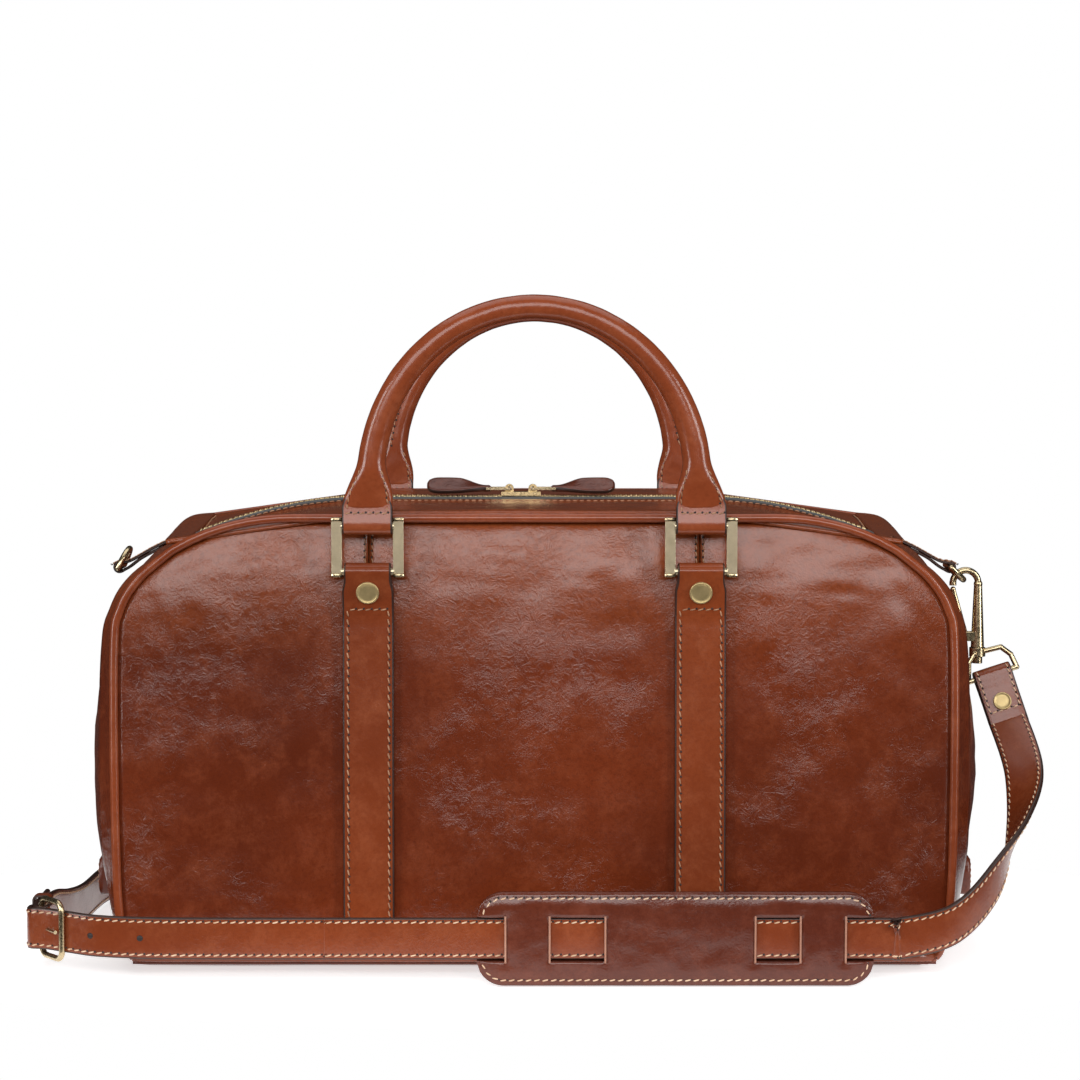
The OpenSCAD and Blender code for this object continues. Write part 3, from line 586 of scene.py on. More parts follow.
# ---- camera, lights and floor ----
def camera():
    data = bpy.data.cameras.new("camera")
    data.lens = 88.7
    data.sensor_width = 36
    data.clip_end = 50
    obj = add_object("camera", data)
    obj.location = (0.003, -1.515, 0.335)
    obj.rotation_euler = (radians(90 - 4.26), 0, 0)
    bpy.context.scene.camera = obj


def softbox(name, place, target, size, power):
    data = bpy.data.lights.new(name, "AREA")
    data.shape = "RECTANGLE"
    data.size, data.size_y = size
    data.energy = power
    obj = add_object(name, data)
    obj.location = place
    obj.rotation_euler = (Vector(target) - Vector(place)).to_track_quat("-Z", "Y").to_euler()


def studio():
    softbox("key_top_front", (-0.1, -1.95, 1.0), (0, 0, 0.24), (2.4, 0.85), 33)
    softbox("top", (0, 0.1, 1.6), (0, 0, 0), (1.8, 1.4), 11)
    softbox("strip_left", (-1.35, -0.85, 0.5), (0, -0.05, 0.14), (0.35, 1.0), 11)
    softbox("strip_right", (1.35, -0.85, 0.5), (0, -0.05, 0.14), (0.35, 1.0), 12)
    # the world is white to the camera and almost dark to everything else
    world = bpy.data.worlds.new("studio")
    bpy.context.scene.world = world
    g = Graph(world)
    seen = g.node("LightPath", "Is Camera Ray", {})
    sky = g.tree.nodes["Background"].inputs
    g.feed((1, 1, 1, 1), sky["Color"])
    g.feed(g.range(seen, 0, 1, 0.035, 1.0), sky["Strength"])
    bpy.context.scene.view_settings.view_transform = "Standard"


def floor():
    """A plain pale oval table top, its middle under the bag."""
    g = new_material("pale_floor")
    tone = g.mix(g.noise(g.coords(), 1.5, 2), (0.93, 0.93, 0.93), (0.90, 0.90, 0.90))
    g.finish({
        "Base Color": tone, "Roughness": 0.9, "Specular IOR Level": 0.1,
        "Emission Color": (1, 1, 1, 1), "Emission Strength": 0.6,
    })
    work = bmesh.new()
    bmesh.ops.create_circle(work, cap_ends=True, cap_tris=True, segments=96, radius=0.42)
    mesh = bpy.data.meshes.new("floor")
    work.to_mesh(mesh)
    work.free()
    mesh.materials.append(g.owner)
    obj = add_object("floor", mesh)
    obj.location.z = -0.0006
    obj.scale.y = 0.56


# ---- the shell ----
def panel_columns(side, part):
    """(x, top z) for each column of points of a panel: part -1 left, 0 centre, 1 right."""
    top = front_top if side < 0 else back_top
    if part == 0:
        xs = [mix(-STRAP_X + 0.25, STRAP_X - 0.25, i / 70) for i in range(71)]
        return [(x, top(x) - PANEL_EDGE) for x in xs]
    cx, cz, rx, rz = (
        (CORNER_X, CORNER_Z, CORNER_RX, CORNER_RZ) if side < 0
        else (*BACK_CORNER, BACK_CORNER_R, BACK_CORNER_R)
    )
    flat = round((cx - STRAP_X) / 2.5)
    xs = [mix(STRAP_X + 0.25, cx, i / flat) for i in range(flat)]
    columns = [(x, top(x) - PANEL_EDGE) for x in xs]
    turns = 38 if side < 0 else 12
    for i in range(turns + 1):
        a = pi / 2 * i / turns
        columns.append((cx + (rx - PANEL_EDGE) * sin(a), cz + (rz - PANEL_EDGE) * cos(a)))
    return [(part * x, z) for x, z in columns]


def panels():
    rows = 88
    for side, label in FACES:
        widest = PANEL_SIDE[side][-1][1]
        for part, name in ((-1, "left"), (0, "centre"), (1, "right")):
            grid = []
            for x, lid in panel_columns(side, part):
                column = []
                for j in range(rows + 1):
                    z = mix(PANEL_FOOT, lid, j / rows)
                    pull = between(PANEL_SIDE[side], z) - widest
                    pull *= smooth((abs(x) - 150) / (PANEL_HALF - 154))
                    px = x + copysign(1, x) * pull
                    column.append(Vector((px, side * panel_out(side, px, z), z)))
                grid.append(column)
            hide(f"{label}_panel_{name}", grid, outward=(0, side, 0))


def end_profile(v, t):
    a, b, c = spline(FRONT_END, v), spline(MID_END, v), spline(BACK_END, v)
    return across(a, b, c, t)


def gusset_point(side, v, t):
    p = end_profile(v, t)
    ahead, behind = end_profile(min(1, v + 0.01), t), end_profile(max(0, v - 0.01), t)
    e = (ahead - behind).normalized()
    out = Vector((-e.y, e.x))
    z = p.y
    edge = edge_y(z) - 0.6
    y = t * edge
    d = edge - abs(y)
    body = smooth((z - 25) / 45) * smooth((226 - z) / 30)
    lift = 0.4 - 2.0 * (1 - smooth(d / 5))
    lift += body * (3.1 * bell(d - 13, 4.2) - 1.6 * bell(d - 21, 4.5))
    lift += body * smooth((d - 18) / 20) * 2.0 * wrinkle(y * 0.018, z * 0.02, 0, 21 + side)
    lift += body * smooth((d - 8) / 12) * 0.6 * wrinkle(y * 0.05, z * 0.09, 3, 21 + side)
    q = p + out * lift
    return Vector((side * q.x, y, q.y))


def gussets():
    for side, label in ENDS:
        grid = [[gusset_point(side, i / 110, mix(-1, 1, j / 84)) for j in range(85)] for i in range(111)]
        hide(f"end_gusset_{label}", grid, outward=(side, 0, 0))


def band_z(x, y):
    """Height of the leather beside the zip."""
    edge = edge_y(FRONT_H) - 0.6
    d, e = edge - abs(y), abs(y) - TAPE_EDGE + 1.2
    lift = -0.8 - 0.7 * smooth(e / 7) + 1.5 * smooth((e - 14) / 26) - 1.7 * (1 - smooth(d / 5))
    lift += smooth(e / 14) * smooth(d / 12) * (1.3 * wrinkle(x * 0.018, y * 0.03, 0, 31) - 0.9)
    lift += smooth(e / 10) * smooth(d / 8) * 0.5 * wrinkle(x * 0.05, y * 0.07, 3, 31)
    return top_z(x, y / edge_y(FRONT_H)) + lift


def zip_bands():
    for side, label in FACES:
        inner, outer = TAPE_EDGE - 1.2, edge_y(FRONT_H) - 0.6
        grid = []
        for i in range(151):
            x = mix(-BAND_END, BAND_END, i / 150)
            grid.append([Vector((x, side * mix(inner, outer, j / 38), band_z(x, mix(inner, outer, j / 38))))
                         for j in range(39)])
        hide(f"zip_band_{label}", grid)
        grid = [[Vector((x, side * y, top_z(x, side * y / edge_y(FRONT_H)) + drop))
                 for y, drop in ((CHAIN_EDGE, 0.3), (6, -0.1), (9, -0.55), (TAPE_EDGE, -1.0))]
                for x in (mix(-193, 193, i / 120) for i in range(121))]
        sheet(f"zip_tape_{label}_cloth", grid, "bag", TAPE, (f"zip_tape_{label}",), 0.6)


def zip_teeth():
    teeth = Batch()
    tooth = ((0.42, 0.45, 0.6), (0.8, 0.72, 0.95), (1.5, 0.78, 1.1), (2.7, 0.62, 1.1), (3.3, 0.5, 0.85))
    pitch = 2.9
    count = int(2 * 190 / pitch)
    for k in range(count):
        for side in (-1, 1):
            x = -190 + (k + (0.5 if side > 0 else 0)) * pitch
            slope = (mid_top(x + 1) - mid_top(x - 1)) / 2
            rings = []
            for y, half_x, half_z in tooth:
                ring = []
                for a in range(22, 360, 45):
                    dx = half_x * 1.08 * cos(radians(a))
                    z = mid_top(x) + slope * dx + half_z * 1.08 * sin(radians(a))
                    ring.append(Vector((x + dx, side * y, z)))
                rings.append(ring)
            teeth.add(rings)
    teeth.build("zip_chain_teeth", "bag", "antique_brass", TEETH, ("zip_chain",))


def pipings():
    for side, label in FACES:
        loop = outline(side)
        n = len(loop)
        path = []
        for i, p in enumerate(loop):
            v = (loop[(i + 1) % n] - loop[i - 1]).normalized()
            c = p + PIPING_R * Vector((v.y, -v.x))
            path.append(Vector((c.x, side * edge_y(c.y), c.y)))
        rings = tube(path, PIPING_R, 14, True, 0.12)
        skin(f"piping_{label}_cord", rings, "bag", [TRIM], (f"piping_{label}",), closed=True)


def base():
    """Leather base: a shallow tray whose rim turns up to the pipings and the ends."""
    grid = []
    for i in range(91):
        u = mix(-1, 1, i / 90)
        row = []
        for j in range(61):
            v = mix(-1, 1, j / 60)
            x, y = 214.5 * copysign(abs(u) ** 0.9, u), 113.5 * copysign(abs(v) ** 0.9, v)
            rim = max(smooth((abs(x) - 200) / 15), smooth((abs(y) - 100) / 14))
            slack = 0.3 * wrinkle(x * 0.03, y * 0.03, 0, 41) * (1 - rim)
            row.append(Vector((x, y, 2.4 + 3.0 * rim ** 2 + slack)))
        grid.append(row)
    hide("base_panel", grid, 2.0)


def lining():
    """Cotton lining: a slack tub that hangs inside the shell."""
    rings = []
    heights = [4 + 7 * i for i in range(33)]
    for step, z in enumerate([8.0] * 4 + heights[1:]):
        shrink = (0.2, 0.6, 0.9, 0.98)[step] if step < 4 else 1.0
        hx = 211.0 if z < 170 else 122 + 89 * sqrt(max(0, 1 - ((z - 170) / 70) ** 2))
        hy = edge_y(z) - 11
        ring = []
        for k in range(160):
            a = 2 * pi * k / 160
            c, s = cos(a), sin(a)
            r = (abs(c) ** 8 + abs(s) ** 8) ** (-1 / 8)
            slack = 1.6 * wrinkle(a * 3, z * 0.03, 0, 51) + 0.8 * wrinkle(a * 12, z * 0.02, 2, 51) - 1.8
            ring.append(Vector(((hx + slack) * c * r * shrink, (hy + slack) * s * r * shrink, z)))
        rings.append(ring)
    faces = grid_faces(len(rings), 160, False, True) + [tuple(range(160))]
    piece("lining_cloth", [q for r in rings for q in r], faces, "bag", [COTTON], None,
          ("lining",), 1.0, (0, 0, -1))


# ---- vertical straps, rings and handles ----
def strap_path(side):
    """Side view of a vertical strap, from its tail behind up over the ring's bar and down the face."""
    face = lambda z: edge_y(z) + swell(STRAP_X, z) + 0.4
    spots = [(face(184) + 1.3, 184), (face(196) + 1.4, 196), (111.3, 207), (111.6, 212)]
    spots += circle(RING_Y, RING_LOW, 3.4, range(170, -1, -17))
    spots += [(117.0, 209), (115.0, 203), (113.2, 197), (111.9, 190)]
    path = curve(spots, 90)
    path += [Vector((face(z) + 1.5 + 0.7 * smooth((z - 160) / 26), z)) for z in range(184, 11, -3)]
    return [Vector((0, side * p.x, p.y)) for p in path]


def vertical_straps():
    seams = Seams()
    for side, label in FACES:
        path = strap_path(side)
        for s, name in ENDS:
            at = Vector((s * STRAP_X, 0, 0))
            spots = [p + at for p in path]
            dirs = [Vector((-side, 0, 0))] * len(spots)
            # narrower where the strap passes between the ring's side plates
            widths = [mix(STRAP_W, 24.6, smooth((p.z - 203) / 7)) for p in spots]
            node = f"strap_{label}_{name}"
            ribbon(f"{node}_leather", spots, dirs, STRAP_W, 2.5, "bag", [STRAP, EDGE],
                   (node,), widths=widths)
            face = [f for f in frames(spots, dirs) if abs(f[0].y) > 109 and f[0].z < 208][-62:]
            face = [f for f in face if f[2].y * side > 0.5 and f[0].z > 14]
            for off in (-1, 1):
                row = [p + a * off * (STRAP_W / 2 - 2.7) + n * 1.3 for p, a, n in face]
                seams.sew(row, [n for _, _, n in face])
            p, a, n = face[0]
            ends = [p + a * u * (STRAP_W / 2 - 3.2) + n * 1.35 for u in (-1, 1)]
            seams.sew(ends, [n, n], 4.0)
    seams.build("vertical_strap_stitches", "bag", TAN)


def rivets():
    dome = [(0.02, -4), (1.5, -4), (1.5, -0.1), (6.0, -0.1), (6.15, 0.5), (6.0, 1.15), (5.6, 1.4),
            (5.2, 1.25), (4.9, 0.95), (3.4, 1.05), (1.6, 1.12), (0.02, 1.15)]
    heads = Batch()
    # the strap hangs back in under its loop
    tilt, drop = radians(15.6), 11
    for side in (-1, 1):
        for s in (-1, 1):
            centre = Vector((s * STRAP_X, side * (RING_Y + 4.5 - drop * tan(tilt)), RING_LOW - drop))
            lathe(heads, centre, Vector((0, side * cos(tilt), -sin(tilt))), dome)
    heads.build("strap_rivet_heads", "bag", "antique_brass", RIVET, ("strap_rivets",))
    heads = Batch()
    out = RIGHT_UP.cross(RIGHT_ACROSS).normalized()
    centre = RIGHT_BAR - 17 * RIGHT_UP
    lathe(heads, centre - 2.9 * out, -out, [(r * 0.84, h) for r, h in dome])
    lathe(heads, centre + 2.9 * out, out, [(r * 0.7, max(h, -1) * 0.7) for r, h in dome])
    heads.build("strap_end_rivet_heads", "bag", "antique_brass", RIVET, ("strap_end_rivets",))


def ring_lips():
    """Raised lips at both ends of each flat side plate of the handle rings."""
    section = ((1, 0.6), (0.85, 1), (-0.85, 1), (-1, 0.6), (-1, -0.6), (-0.85, -1), (0.85, -1), (1, -0.6))
    for side, label in FACES:
        lips = Batch()
        for x in (-STRAP_X - 16.25, -STRAP_X + 16.25, STRAP_X - 16.25, STRAP_X + 16.25):
            for z in (RING_LOW - 1.9, RING_HIGH + 3.6):
                lips.add([
                    [Vector((x + u, side * RING_Y + 2.0 * grow * y, z + 0.95 * grow * h)) for y, h in section]
                    for u, grow in ((-3.05, 0.75), (-2.85, 1), (2.85, 1), (3.05, 0.75))])
        lips.build(f"{label}_ring_lips", f"{label}_rings", "antique_brass", WIRE)


def arch_at(a):
    return Vector((ARCH_HALF * cos(radians(a)), ARCH_Z + ARCH_RISE * sin(radians(a))))


def grip_half(a):
    """Half sizes of the handle, across and through, and how flat it is."""
    z = arch_at(a).y
    r = mix(LEG_R, GRIP_R, sin(radians(max(0, min(180, a)))))
    wide, flat = smooth((274 - z) / 24), smooth((270 - z) / 24)
    return mix(r, TAB_HALF, wide), mix(r, TAB_THICK, flat), flat


def grip_spot(side, a, b, lift=0.0):
    """Point on the handle's surface: a along the arch, b round the section, both in degrees."""
    c = arch_at(a)
    v = (arch_at(a + 1) - arch_at(a - 1)).normalized()
    hx, hy, flat = grip_half(a)
    # the foot of the roll turns upright and sits over the middle of the ring
    m = Vector((v.y, -v.x)).lerp(Vector((1 if a < 90 else -1, 0)), flat).normalized()
    c.x = mix(c.x, copysign(STRAP_X, c.x), flat)
    power = mix(1.0, 0.55, flat)
    cb, sb = cos(radians(b)), sin(radians(b))
    u = copysign(abs(cb) ** power, cb) * (hx + lift)
    w = copysign(abs(sb) ** power, sb) * (hy + lift)
    return Vector((c.x + m.x * u, side * RING_Y + w, c.y + m.y * u))


def handles():
    for side, label in FACES:
        body = f"{label}_handle"
        inner = -90 if side > 0 else 90
        rings = []
        for i in range(151):
            a = mix(-9.5, 189.5, i / 150)
            ring = []
            for k in range(40):
                b = 9 * k
                gap = (b - inner - 6 + 180) % 360 - 180
                seam = 0.55 * bell(gap, 7) * smooth((a + 2) / 8) * smooth((182 - a) / 8)
                crease = 0.16 * wrinkle(a * 0.2, b * 0.02, 0, 61 + side)
                ring.append(grip_spot(side, a, b, crease - seam))
            rings.append(ring)
        skin(f"{label}_handle_roll", rings, body, [TRIM], (f"{label}_handle",))
        seams = Seams()
        angles = [mix(6, 174, i / 120) for i in range(121)]
        offset = inner + (20 if side > 0 else -20)
        path = [grip_spot(side, a, offset, 0.05) for a in angles]
        normals = [(grip_spot(side, a, offset, 1) - grip_spot(side, a, offset)).normalized() for a in angles]
        seams.sew(path, normals, 4.0, 0.36)
        for s, end in ENDS:
            legs = [(1.55, 254), (1.7, 249), (2.5, 243.5), (3.3, 240)]
            spots = legs + circle(0, RING_HIGH, 3.35, range(0, -181, -15)) + [(-w, z) for w, z in legs[::-1]]
            path = [Vector((s * STRAP_X, side * (RING_Y + p.x), p.y)) for p in curve(spots, 70)]
            widths = [2 * mix(TAB_HALF, TAB_HALF - 2.2, smooth((p.z - 248) / 8)) for p in path]
            ribbon(f"{label}_handle_tab_{end}", path, [Vector((-side, 0, 0))] * 71, 0, 2.1, body,
                   [TRIM, EDGE], widths=widths)
            for face in (-1, 1):
                rows = []
                for lateral in (-1, 1):
                    line = []
                    for a in (-9, -7, -5, -3, -1, 1.5, 4):
                        c = arch_at(a if s > 0 else 180 - a)
                        hx, hy, flat = grip_half(a)
                        c.x = mix(c.x, s * STRAP_X, flat)
                        u = hx - 2.7
                        power = mix(1.0, 0.55, flat)
                        w = hy * (1 - (u / hx) ** (2 / power)) ** (power / 2)
                        line.append(Vector((c.x + lateral * u, side * RING_Y + face * (w + 0.1), c.y)))
                    rows.append(line)
                bottom = [Vector((s * STRAP_X + u * (TAB_HALF - 2.6), side * RING_Y + face * 3.45, 245.0))
                          for u in (-1, 0, 1)]
                path = rows[0][::-1] + bottom + rows[1]
                seams.sew(path, [Vector((0, face, 0))] * len(path), 3.9, 0.4)
        seams.build(f"{label}_handle_stitches", body, TAN)


# ---- ends: tabs for the D rings and the small low tabs ----
def end_tabs():
    seams = Seams()
    for side, label in ENDS:
        spots = [(205, 223.2), (212, 220.4), (219, 216.9), (226, 212.9), (231.5, 210.2)]
        spots += circle(*D_BAR, 2.75, range(50, -131, -20))
        spots += [(230.8, 207.2), (225.2, 211.4), (218.2, 215.3), (211.3, 218.8)]
        path = [Vector((side * p.x, 0, p.y)) for p in curve(spots, 80)]
        node = f"d_tab_{label}"
        dirs = [Vector((0, side, 0))] * 81
        ribbon(f"{node}_leather", path, dirs, 13, 1.5, "bag", [DARK, EDGE], (node,))
        top = frames(path, dirs)[2:34]
        for off in (-1, 1):
            seams.sew([p + a * off * 4.4 + n * copysign(0.8, n.z) for p, a, n in top],
                     [n * copysign(1, n.z) for _, _, n in top], 3.6, 0.36)
        rings = []
        for x, grow in ((241.5, 0.9), (243.2, 0.97), (247.5, 1.0), (249.4, 0.96), (250.2, 0.84), (250.3, 0.5),
                        (250.3, 0.1)):
            ring = []
            for k in range(48):
                a = 2 * pi * k / 48
                c, s = cos(a), sin(a)
                r = (abs(c) ** 3.2 + abs(s) ** 3.2) ** (-1 / 3.2)
                ring.append(Vector((side * x, 7.4 * c * r * grow, 29 + 11.4 * s * r * grow)))
            rings.append(ring)
        batch = Batch()
        batch.add(rings)
        batch.build(f"end_tab_{label}_leather", "bag", "dark_leather", DARK, (f"end_tab_{label}",))
        loop = [Vector((side * 250.3, 4.9 * cos(a), 29 + 8.8 * sin(a)))
                for a in (pi * k / 18 for k in range(37))]
        seams.sew(loop, [Vector((side, 0, 0))] * 37, 3.4, 0.36)
    seams.build("end_tab_stitches", "bag", TAN)


# ---- zip pulls ----
def pull_tabs():
    """Leather pulls, rounded at the edges, with an embossed blank oval and a burnished rim."""
    for label in ("left", "right"):
        low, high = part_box(f"pull_tab_{label}")
        low, high = low / MM, high / MM
        s = -1 if label == "left" else 1
        near = high.x if s < 0 else low.x
        z = (low.z + high.z) / 2
        reach = high.x - low.x
        half_w = (high.y - low.y) / 2

        def half(u):
            neck = mix(3.3, 5.6, smooth(u / 9))
            body = mix(neck, half_w, smooth((u - 6) / 20))
            end = reach - u
            return body if end > half_w else sqrt(max(0.01, half_w ** 2 - (half_w - end) ** 2))

        spots = [0.15 + (reach - 0.3) * (0.5 - 0.5 * cos(pi * i / 46)) for i in range(47)]
        rings = []
        for u in spots:
            h = half(u)
            ring = []
            for k in range(28):
                a = 2 * pi * k / 28
                c, sn = cos(a), sin(a)
                y = h * copysign(abs(c) ** 0.5, c)
                oval = (u - reach * 0.6) ** 2 / 64 + y * y / 14
                press = 0.35 * bell(sqrt(oval) - 1, 0.16) * (abs(sn) > 0.3)
                w = (1.85 - press) * copysign(abs(sn) ** 0.45, sn) * min(1, 0.35 + min(u, reach - u) / 2.0)
                tilt = radians(30) * smooth((u - 3) / 16)
                ring.append(Vector((near + s * u, y * cos(tilt) - w * sin(tilt),
                                    z + 1.6 * smooth((u - 3) / 16) + y * sin(tilt) + w * cos(tilt))))
            rings.append(ring)
        rim = [int(k in (0, 27, 13, 14)) for k in range(28)] * (len(rings) - 1) + [1, 1]
        node = f"pull_tab_{label}"
        skin(f"{node}_leather", rings, node, [DARK, EDGE], (node,), rim)


# ---- shoulder strap ----
def fold_points(bar, up, across_dir, tail):
    n = up.cross(across_dir).normalized()
    start = [bar + 1.7 * n - 24 * up, bar + 1.9 * n - 12 * up, bar + 2.6 * n - 5 * up]
    turn = [bar + c * n + s * up for c, s in circle(0, 0, FOLD_R, range(0, 181, 15))]
    return start + turn + [bar - 2.6 * n - 5 * up, bar - 1.9 * n - 12 * up, bar - 1.7 * n - tail * up]


def buckle_local(x, y, z):
    c, s = cos(BUCKLE_YAW), sin(BUCKLE_YAW)
    return BUCKLE_AT + Vector((x * c - y * s, x * s + y * c, z))


def dense(points, per):
    return curve(points, (len(points) - 1) * per)


def edge_rows(seams, path, dirs, skip):
    """Stitch both edges of both faces of the shoulder strap, leaving out some points at its ends."""
    row = frames(path, dirs)[skip[0]:len(path) - skip[1]]
    for off in (-1, 1):
        for face in (1, -1):
            line = [p + a * off * (SLING_W / 2 - 2.3) + n * face * (SLING_T / 2 + 0.05) for p, a, n in row]
            seams.sew(line, [n * face for _, _, n in row])


def shoulder_straps():
    seams = Seams()
    n = RIGHT_UP.cross(RIGHT_ACROSS).normalized()
    run = [Vector(p) for p in SLING_RUN] + [RIGHT_BAR - 24 * RIGHT_UP + 1.7 * n]
    turn = [Vector(u) for u in SLING_ACROSS] + [RIGHT_ACROSS]
    tail = dense(fold_points(RIGHT_BAR, RIGHT_UP, RIGHT_ACROSS, 31), 4)
    body = curve(run, 260)[:-1]
    path = body + tail
    dirs = [v.normalized() for v in curve(turn, 260)[:-1]] + [RIGHT_ACROSS] * len(tail)
    widths = [mix(13, SLING_W, smooth(i / 5)) for i in range(len(path))]
    ribbon("shoulder_strap_long_leather", path, dirs, SLING_W, SLING_T, "bag", [STRAP, EDGE],
           ("shoulder_strap_long",), widths=widths)
    edge_rows(seams, path, dirs, (6, len(tail) - 6))
    flap = frames(tail, [RIGHT_ACROSS] * len(tail))[-26:-2]
    for off in (-1, 1):
        seams.sew([p + a * off * 8.7 + m * 1.4 for p, a, m in flap], [m for _, _, m in flap], 4.0)
    p, a, m = flap[-1]
    seams.sew([p - a * 8.2 + m * 1.4, p + a * 8.2 + m * 1.4], [m, m], 4.0)

    heel = buckle_local(-BUCKLE_HALF, 0, 0)
    fold, rear = ([bar + Vector((*p, 0)) for p in circle(0, 0, FOLD_R, range(start, start - 181, -15))]
                  for bar, start in ((heel, 0), (REAR_BAR, 90)))
    path = dense([heel + Vector((2.4, 22, -2)), heel + Vector((2.8, 8, -1))] + fold[::2], 6)
    path += curve(REAR_RUN, 150)[2:]
    path += dense(rear[::2] + [REAR_BAR + Vector((-8, -2.4, 0)), REAR_BAR + Vector((-26, -1.4, 0))], 5)
    up = [Vector((0, 0, 1))] * len(path)
    ribbon("shoulder_strap_short_leather", path, up, SLING_W, SLING_T, "bag", [STRAP, EDGE],
           ("shoulder_strap_short",))
    edge_rows(seams, path, up, (50, 20))
    for x in (-232, -206):
        i = min(range(260), key=lambda k: (body[k] - Vector((x, -145, 25.6))).length)
        p, _, m = frames(body, dirs)[i]
        for face in (1, -1):
            # near-black discs on both faces: painted shade in the punched holes
            hole = [(1.6, 0.9), (1.6, SLING_T / 2 + 0.16), (0.02, SLING_T / 2 + 0.17)]
            lathe(seams.holes, p, m * face, hole, 20)
    seams.thread.build("shoulder_strap_stitches", "bag", "strap_leather", CREAM)
    seams.holes.build("shoulder_strap_holes", "bag", "dark_leather", HOLE_SHADE)


def keeper():
    centre = middle("keeper_loop")
    hx, hz, r = 4.4, 12.35, 2.2
    path = []
    for qx, qz, start in ((1, 1, 0), (-1, 1, 90), (-1, -1, 180), (1, -1, 270)):
        for k in range(6):
            a = radians(start + 18 * k)
            path.append(centre + Vector((qx * (hx - r) + r * cos(a), 0, qz * (hz - r) + r * sin(a))))
    dirs = [Vector((0, 1, 0))] * len(path)
    ribbon("keeper_loop_leather", path, dirs, 8, 1.4, "keeper", [STRAP, EDGE],
           ("keeper_loop",), closed=True)


def pad_half(x):
    """Half height of the shoulder pad at x from its middle."""
    over = abs(x) - (PAD_L / 2 - PAD_CORNER)
    if over <= 0:
        return PAD_H / 2
    return PAD_H / 2 - PAD_CORNER + sqrt(max(0.0, PAD_CORNER ** 2 - over * over))


def pad_window(x):
    return any(a < x < b for a, b in PAD_WINDOWS)


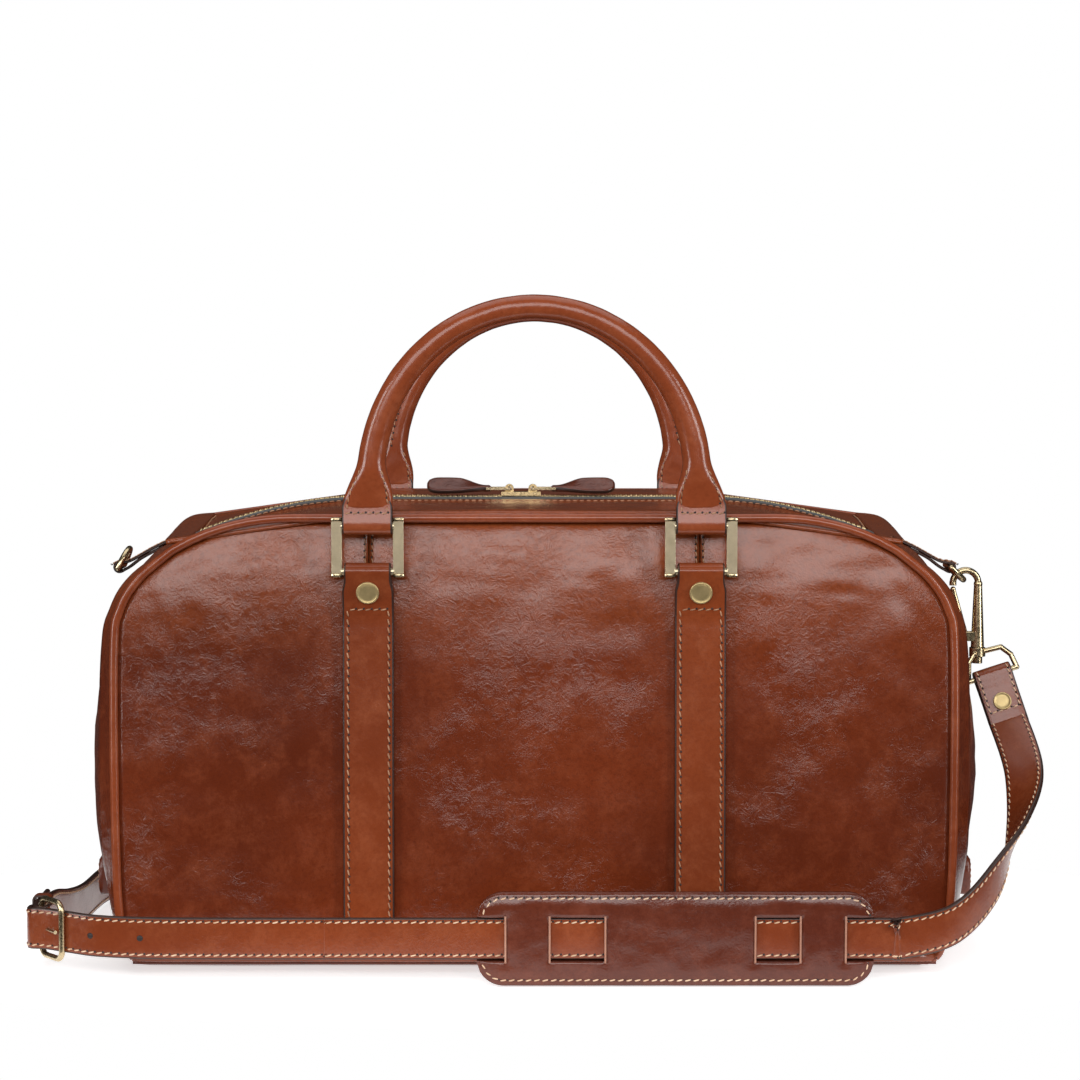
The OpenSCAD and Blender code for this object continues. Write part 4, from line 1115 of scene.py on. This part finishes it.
def shoulder_pad():
    """Two layers of leather over foam, stitched round the border, with slots that the strap shows through."""
    centre = middle("shoulder_pad")
    slot = SLING_W / 2 + 0.6
    cols = [mix(-PAD_L / 2, PAD_L / 2, i / 120) for i in range(121)]
    for x in PAD_RIMS:
        cols[min(range(121), key=lambda i: abs(cols[i] - x))] = x
    zs = []
    for x in cols:
        h = max(pad_half(x), slot + 0.4)
        row = [-h + (h - slot) * (i / 7) for i in range(7)]
        row += [mix(-slot, slot, i / 12) for i in range(13)]
        row += [slot + (h - slot) * (i / 7) for i in range(1, 8)]
        zs.append(row)
    count = len(zs[0])
    spine = Vector((centre.x, -148.0, centre.z))

    def front_y(x, z, border):
        crown = 1.7 + 1.5 * smooth(border / 7)
        rim = min(abs(x - e) for w in PAD_WINDOWS for e in w) if abs(z) < slot + 3 else 9
        crown -= 0.3 * (1 - smooth(rim / 5))
        creases = 0.5 * wrinkle(x * 0.05, z * 0.09, 0, 71) * smooth(border / 6)
        crown += creases + 0.25 * wrinkle(x * 0.13, z * 0.2, 2, 71)
        return -crown

    points, faces, borders = [], [], []
    for i, x in enumerate(cols):
        for z in zs[i]:
            border = min(PAD_H / 2, max(0.0, min(pad_half(x) - abs(z), PAD_L / 2 - abs(x))))
            borders.append(border)
            points.append(spine + Vector((x, front_y(x, z, border), z)))
    front_count = len(points)
    for i, x in enumerate(cols):
        for z, border in zip(zs[i], borders[i * count:(i + 1) * count]):
            points.append(spine + Vector((x, 1.6 + 1.0 * smooth(border / 7), z)))
    for i in range(len(cols) - 1):
        x = (cols[i] + cols[i + 1]) / 2
        for j in range(count - 1):
            z = (zs[i][j] + zs[i][j + 1]) / 2
            quad = (i * count + j, i * count + j + 1, (i + 1) * count + j + 1, (i + 1) * count + j)
            if not (pad_window(x) and abs(z) < slot):
                faces.append(quad)
            faces.append(tuple(front_count + k for k in reversed(quad)))
    rim = [(i, 0) for i in range(len(cols))] + [(len(cols) - 1, j) for j in range(1, count)]
    rim += [(i, count - 1) for i in range(len(cols) - 2, -1, -1)] + [(0, j) for j in range(count - 2, 0, -1)]
    for (i, j), (k, m) in zip(rim, rim[1:] + rim[:1]):
        end_window = i == k and abs((zs[i][j] + zs[i][m]) / 2) < slot
        if not end_window:
            near, far = i * count + j, k * count + m
            faces.append((near, far, front_count + far, front_count + near))
    obj = piece("shoulder_pad_leather", points, faces, "shoulder_pad", [DARK], None,
                ("shoulder_pad",), 1.0)
    seams = Seams()
    inset = 3.0
    corner = PAD_CORNER - inset
    path = []
    for qx, qz, start in ((1, 1, 90), (1, -1, 0), (-1, -1, -90), (-1, 1, 180)):
        for k in range(10):
            a = radians(start - 10 * k)
            path.append(Vector((qx * (PAD_L / 2 - PAD_CORNER) + corner * cos(a), 0,
                                qz * (PAD_H / 2 - PAD_CORNER) + corner * sin(a))))
    path.append(path[0])
    spaced = []
    for a, b in zip(path, path[1:]):
        parts = max(1, int((b - a).length / 3))
        spaced += [a.lerp(b, k / parts) for k in range(parts)]
    for keep in (lambda p: p.z > slot + 0.5, lambda p: p.z < -slot - 0.5):
        chosen = sorted((p for p in spaced if keep(p)), key=lambda p: atan2(p.x, p.z if p.z > 0 else -p.z))
        row = [spine + Vector((p.x, front_y(p.x, p.z, inset) - 0.1, p.z)) for p in chosen]
        seams.sew(row, [Vector((0, -1, 0))] * len(row))
        row = [spine + Vector((p.x, 2.4, p.z)) for p in chosen]
        seams.sew(row, [Vector((0, 1, 0))] * len(row))
    seams.build("shoulder_pad_stitches", "shoulder_pad", CREAM)
    rims = Batch()
    for x in PAD_RIMS:
        heights = (mix(-slot - 0.8, slot + 0.8, k / 14) for k in range(15))
        line = [spine + Vector((x, front_y(x, z, 12) - 0.15, z)) for z in heights]
        rims.add(tube(line, 0.55, 8))
    rims.build("shoulder_pad_slot_rims", "shoulder_pad", "dark_leather", SLOT_RIM)


def seam_stitches():
    """Dark stitches beside the seams of the big panels, and the topstitching beside the zip."""
    seams = Seams()
    for side in (-1, 1):
        for s in (-1, 1):
            for off in (-1.9, 1.9):
                x = s * STRAP_X + off
                path = [Vector((x, side * (panel_out(side, x, z) + 0.05), z)) for z in range(186, 239, 4)]
                seams.sew(path, [Vector((0, side, 0.1))] * len(path), 3.6, 0.34)
        y = side * (TAPE_EDGE + 2.6)
        path = [Vector((x, y, band_z(x, y) + 0.05)) for x in range(-190, 191, 5)]
        seams.sew(path, [Vector((0, 0, 1))] * len(path), 3.8, 0.34)
        for s in (-1, 1):
            path = [Vector((s * 193.4, side * y2, band_z(193.4, y2) + 0.05)) for y2 in range(15, 100, 5)]
            seams.sew(path, [Vector((s * 0.5, 0, 1)).normalized()] * len(path), 3.8, 0.34)
    seams.build("seam_stitches", "bag", TAN, "body_leather")


def carried_over():
    """Procedural finishes for the CAD nodes that show as they are."""
    finish = {
        "base_board": BOARD, "front_handle_core": COTTON, "back_handle_core": COTTON,
        "buckle_frame": WIRE, "buckle_prong": WIRE,
    }
    paired = {
        "slider": TEETH, "front_ring": PLATE, "back_ring": PLATE, "swivel_loop": WIRE, "d_ring": WIRE,
        "pull_link": WIRE, "clip_hook": WIRE, "clip_gate": WIRE,
    }
    for name, material in paired.items():
        finish[name + "_left"] = finish[name + "_right"] = material
    for name, material in finish.items():
        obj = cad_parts[name]
        for k in range(max(1, len(obj.material_slots))):
            if not obj.material_slots:
                obj.data.materials.append(material)
            obj.material_slots[k].material = material


for build in (
    camera, studio, floor, panels, gussets, zip_bands, zip_teeth, pipings, base, lining,
    vertical_straps, rivets, ring_lips, handles, end_tabs, pull_tabs, shoulder_straps, keeper,
    shoulder_pad, seam_stitches, carried_over,
):
    build()
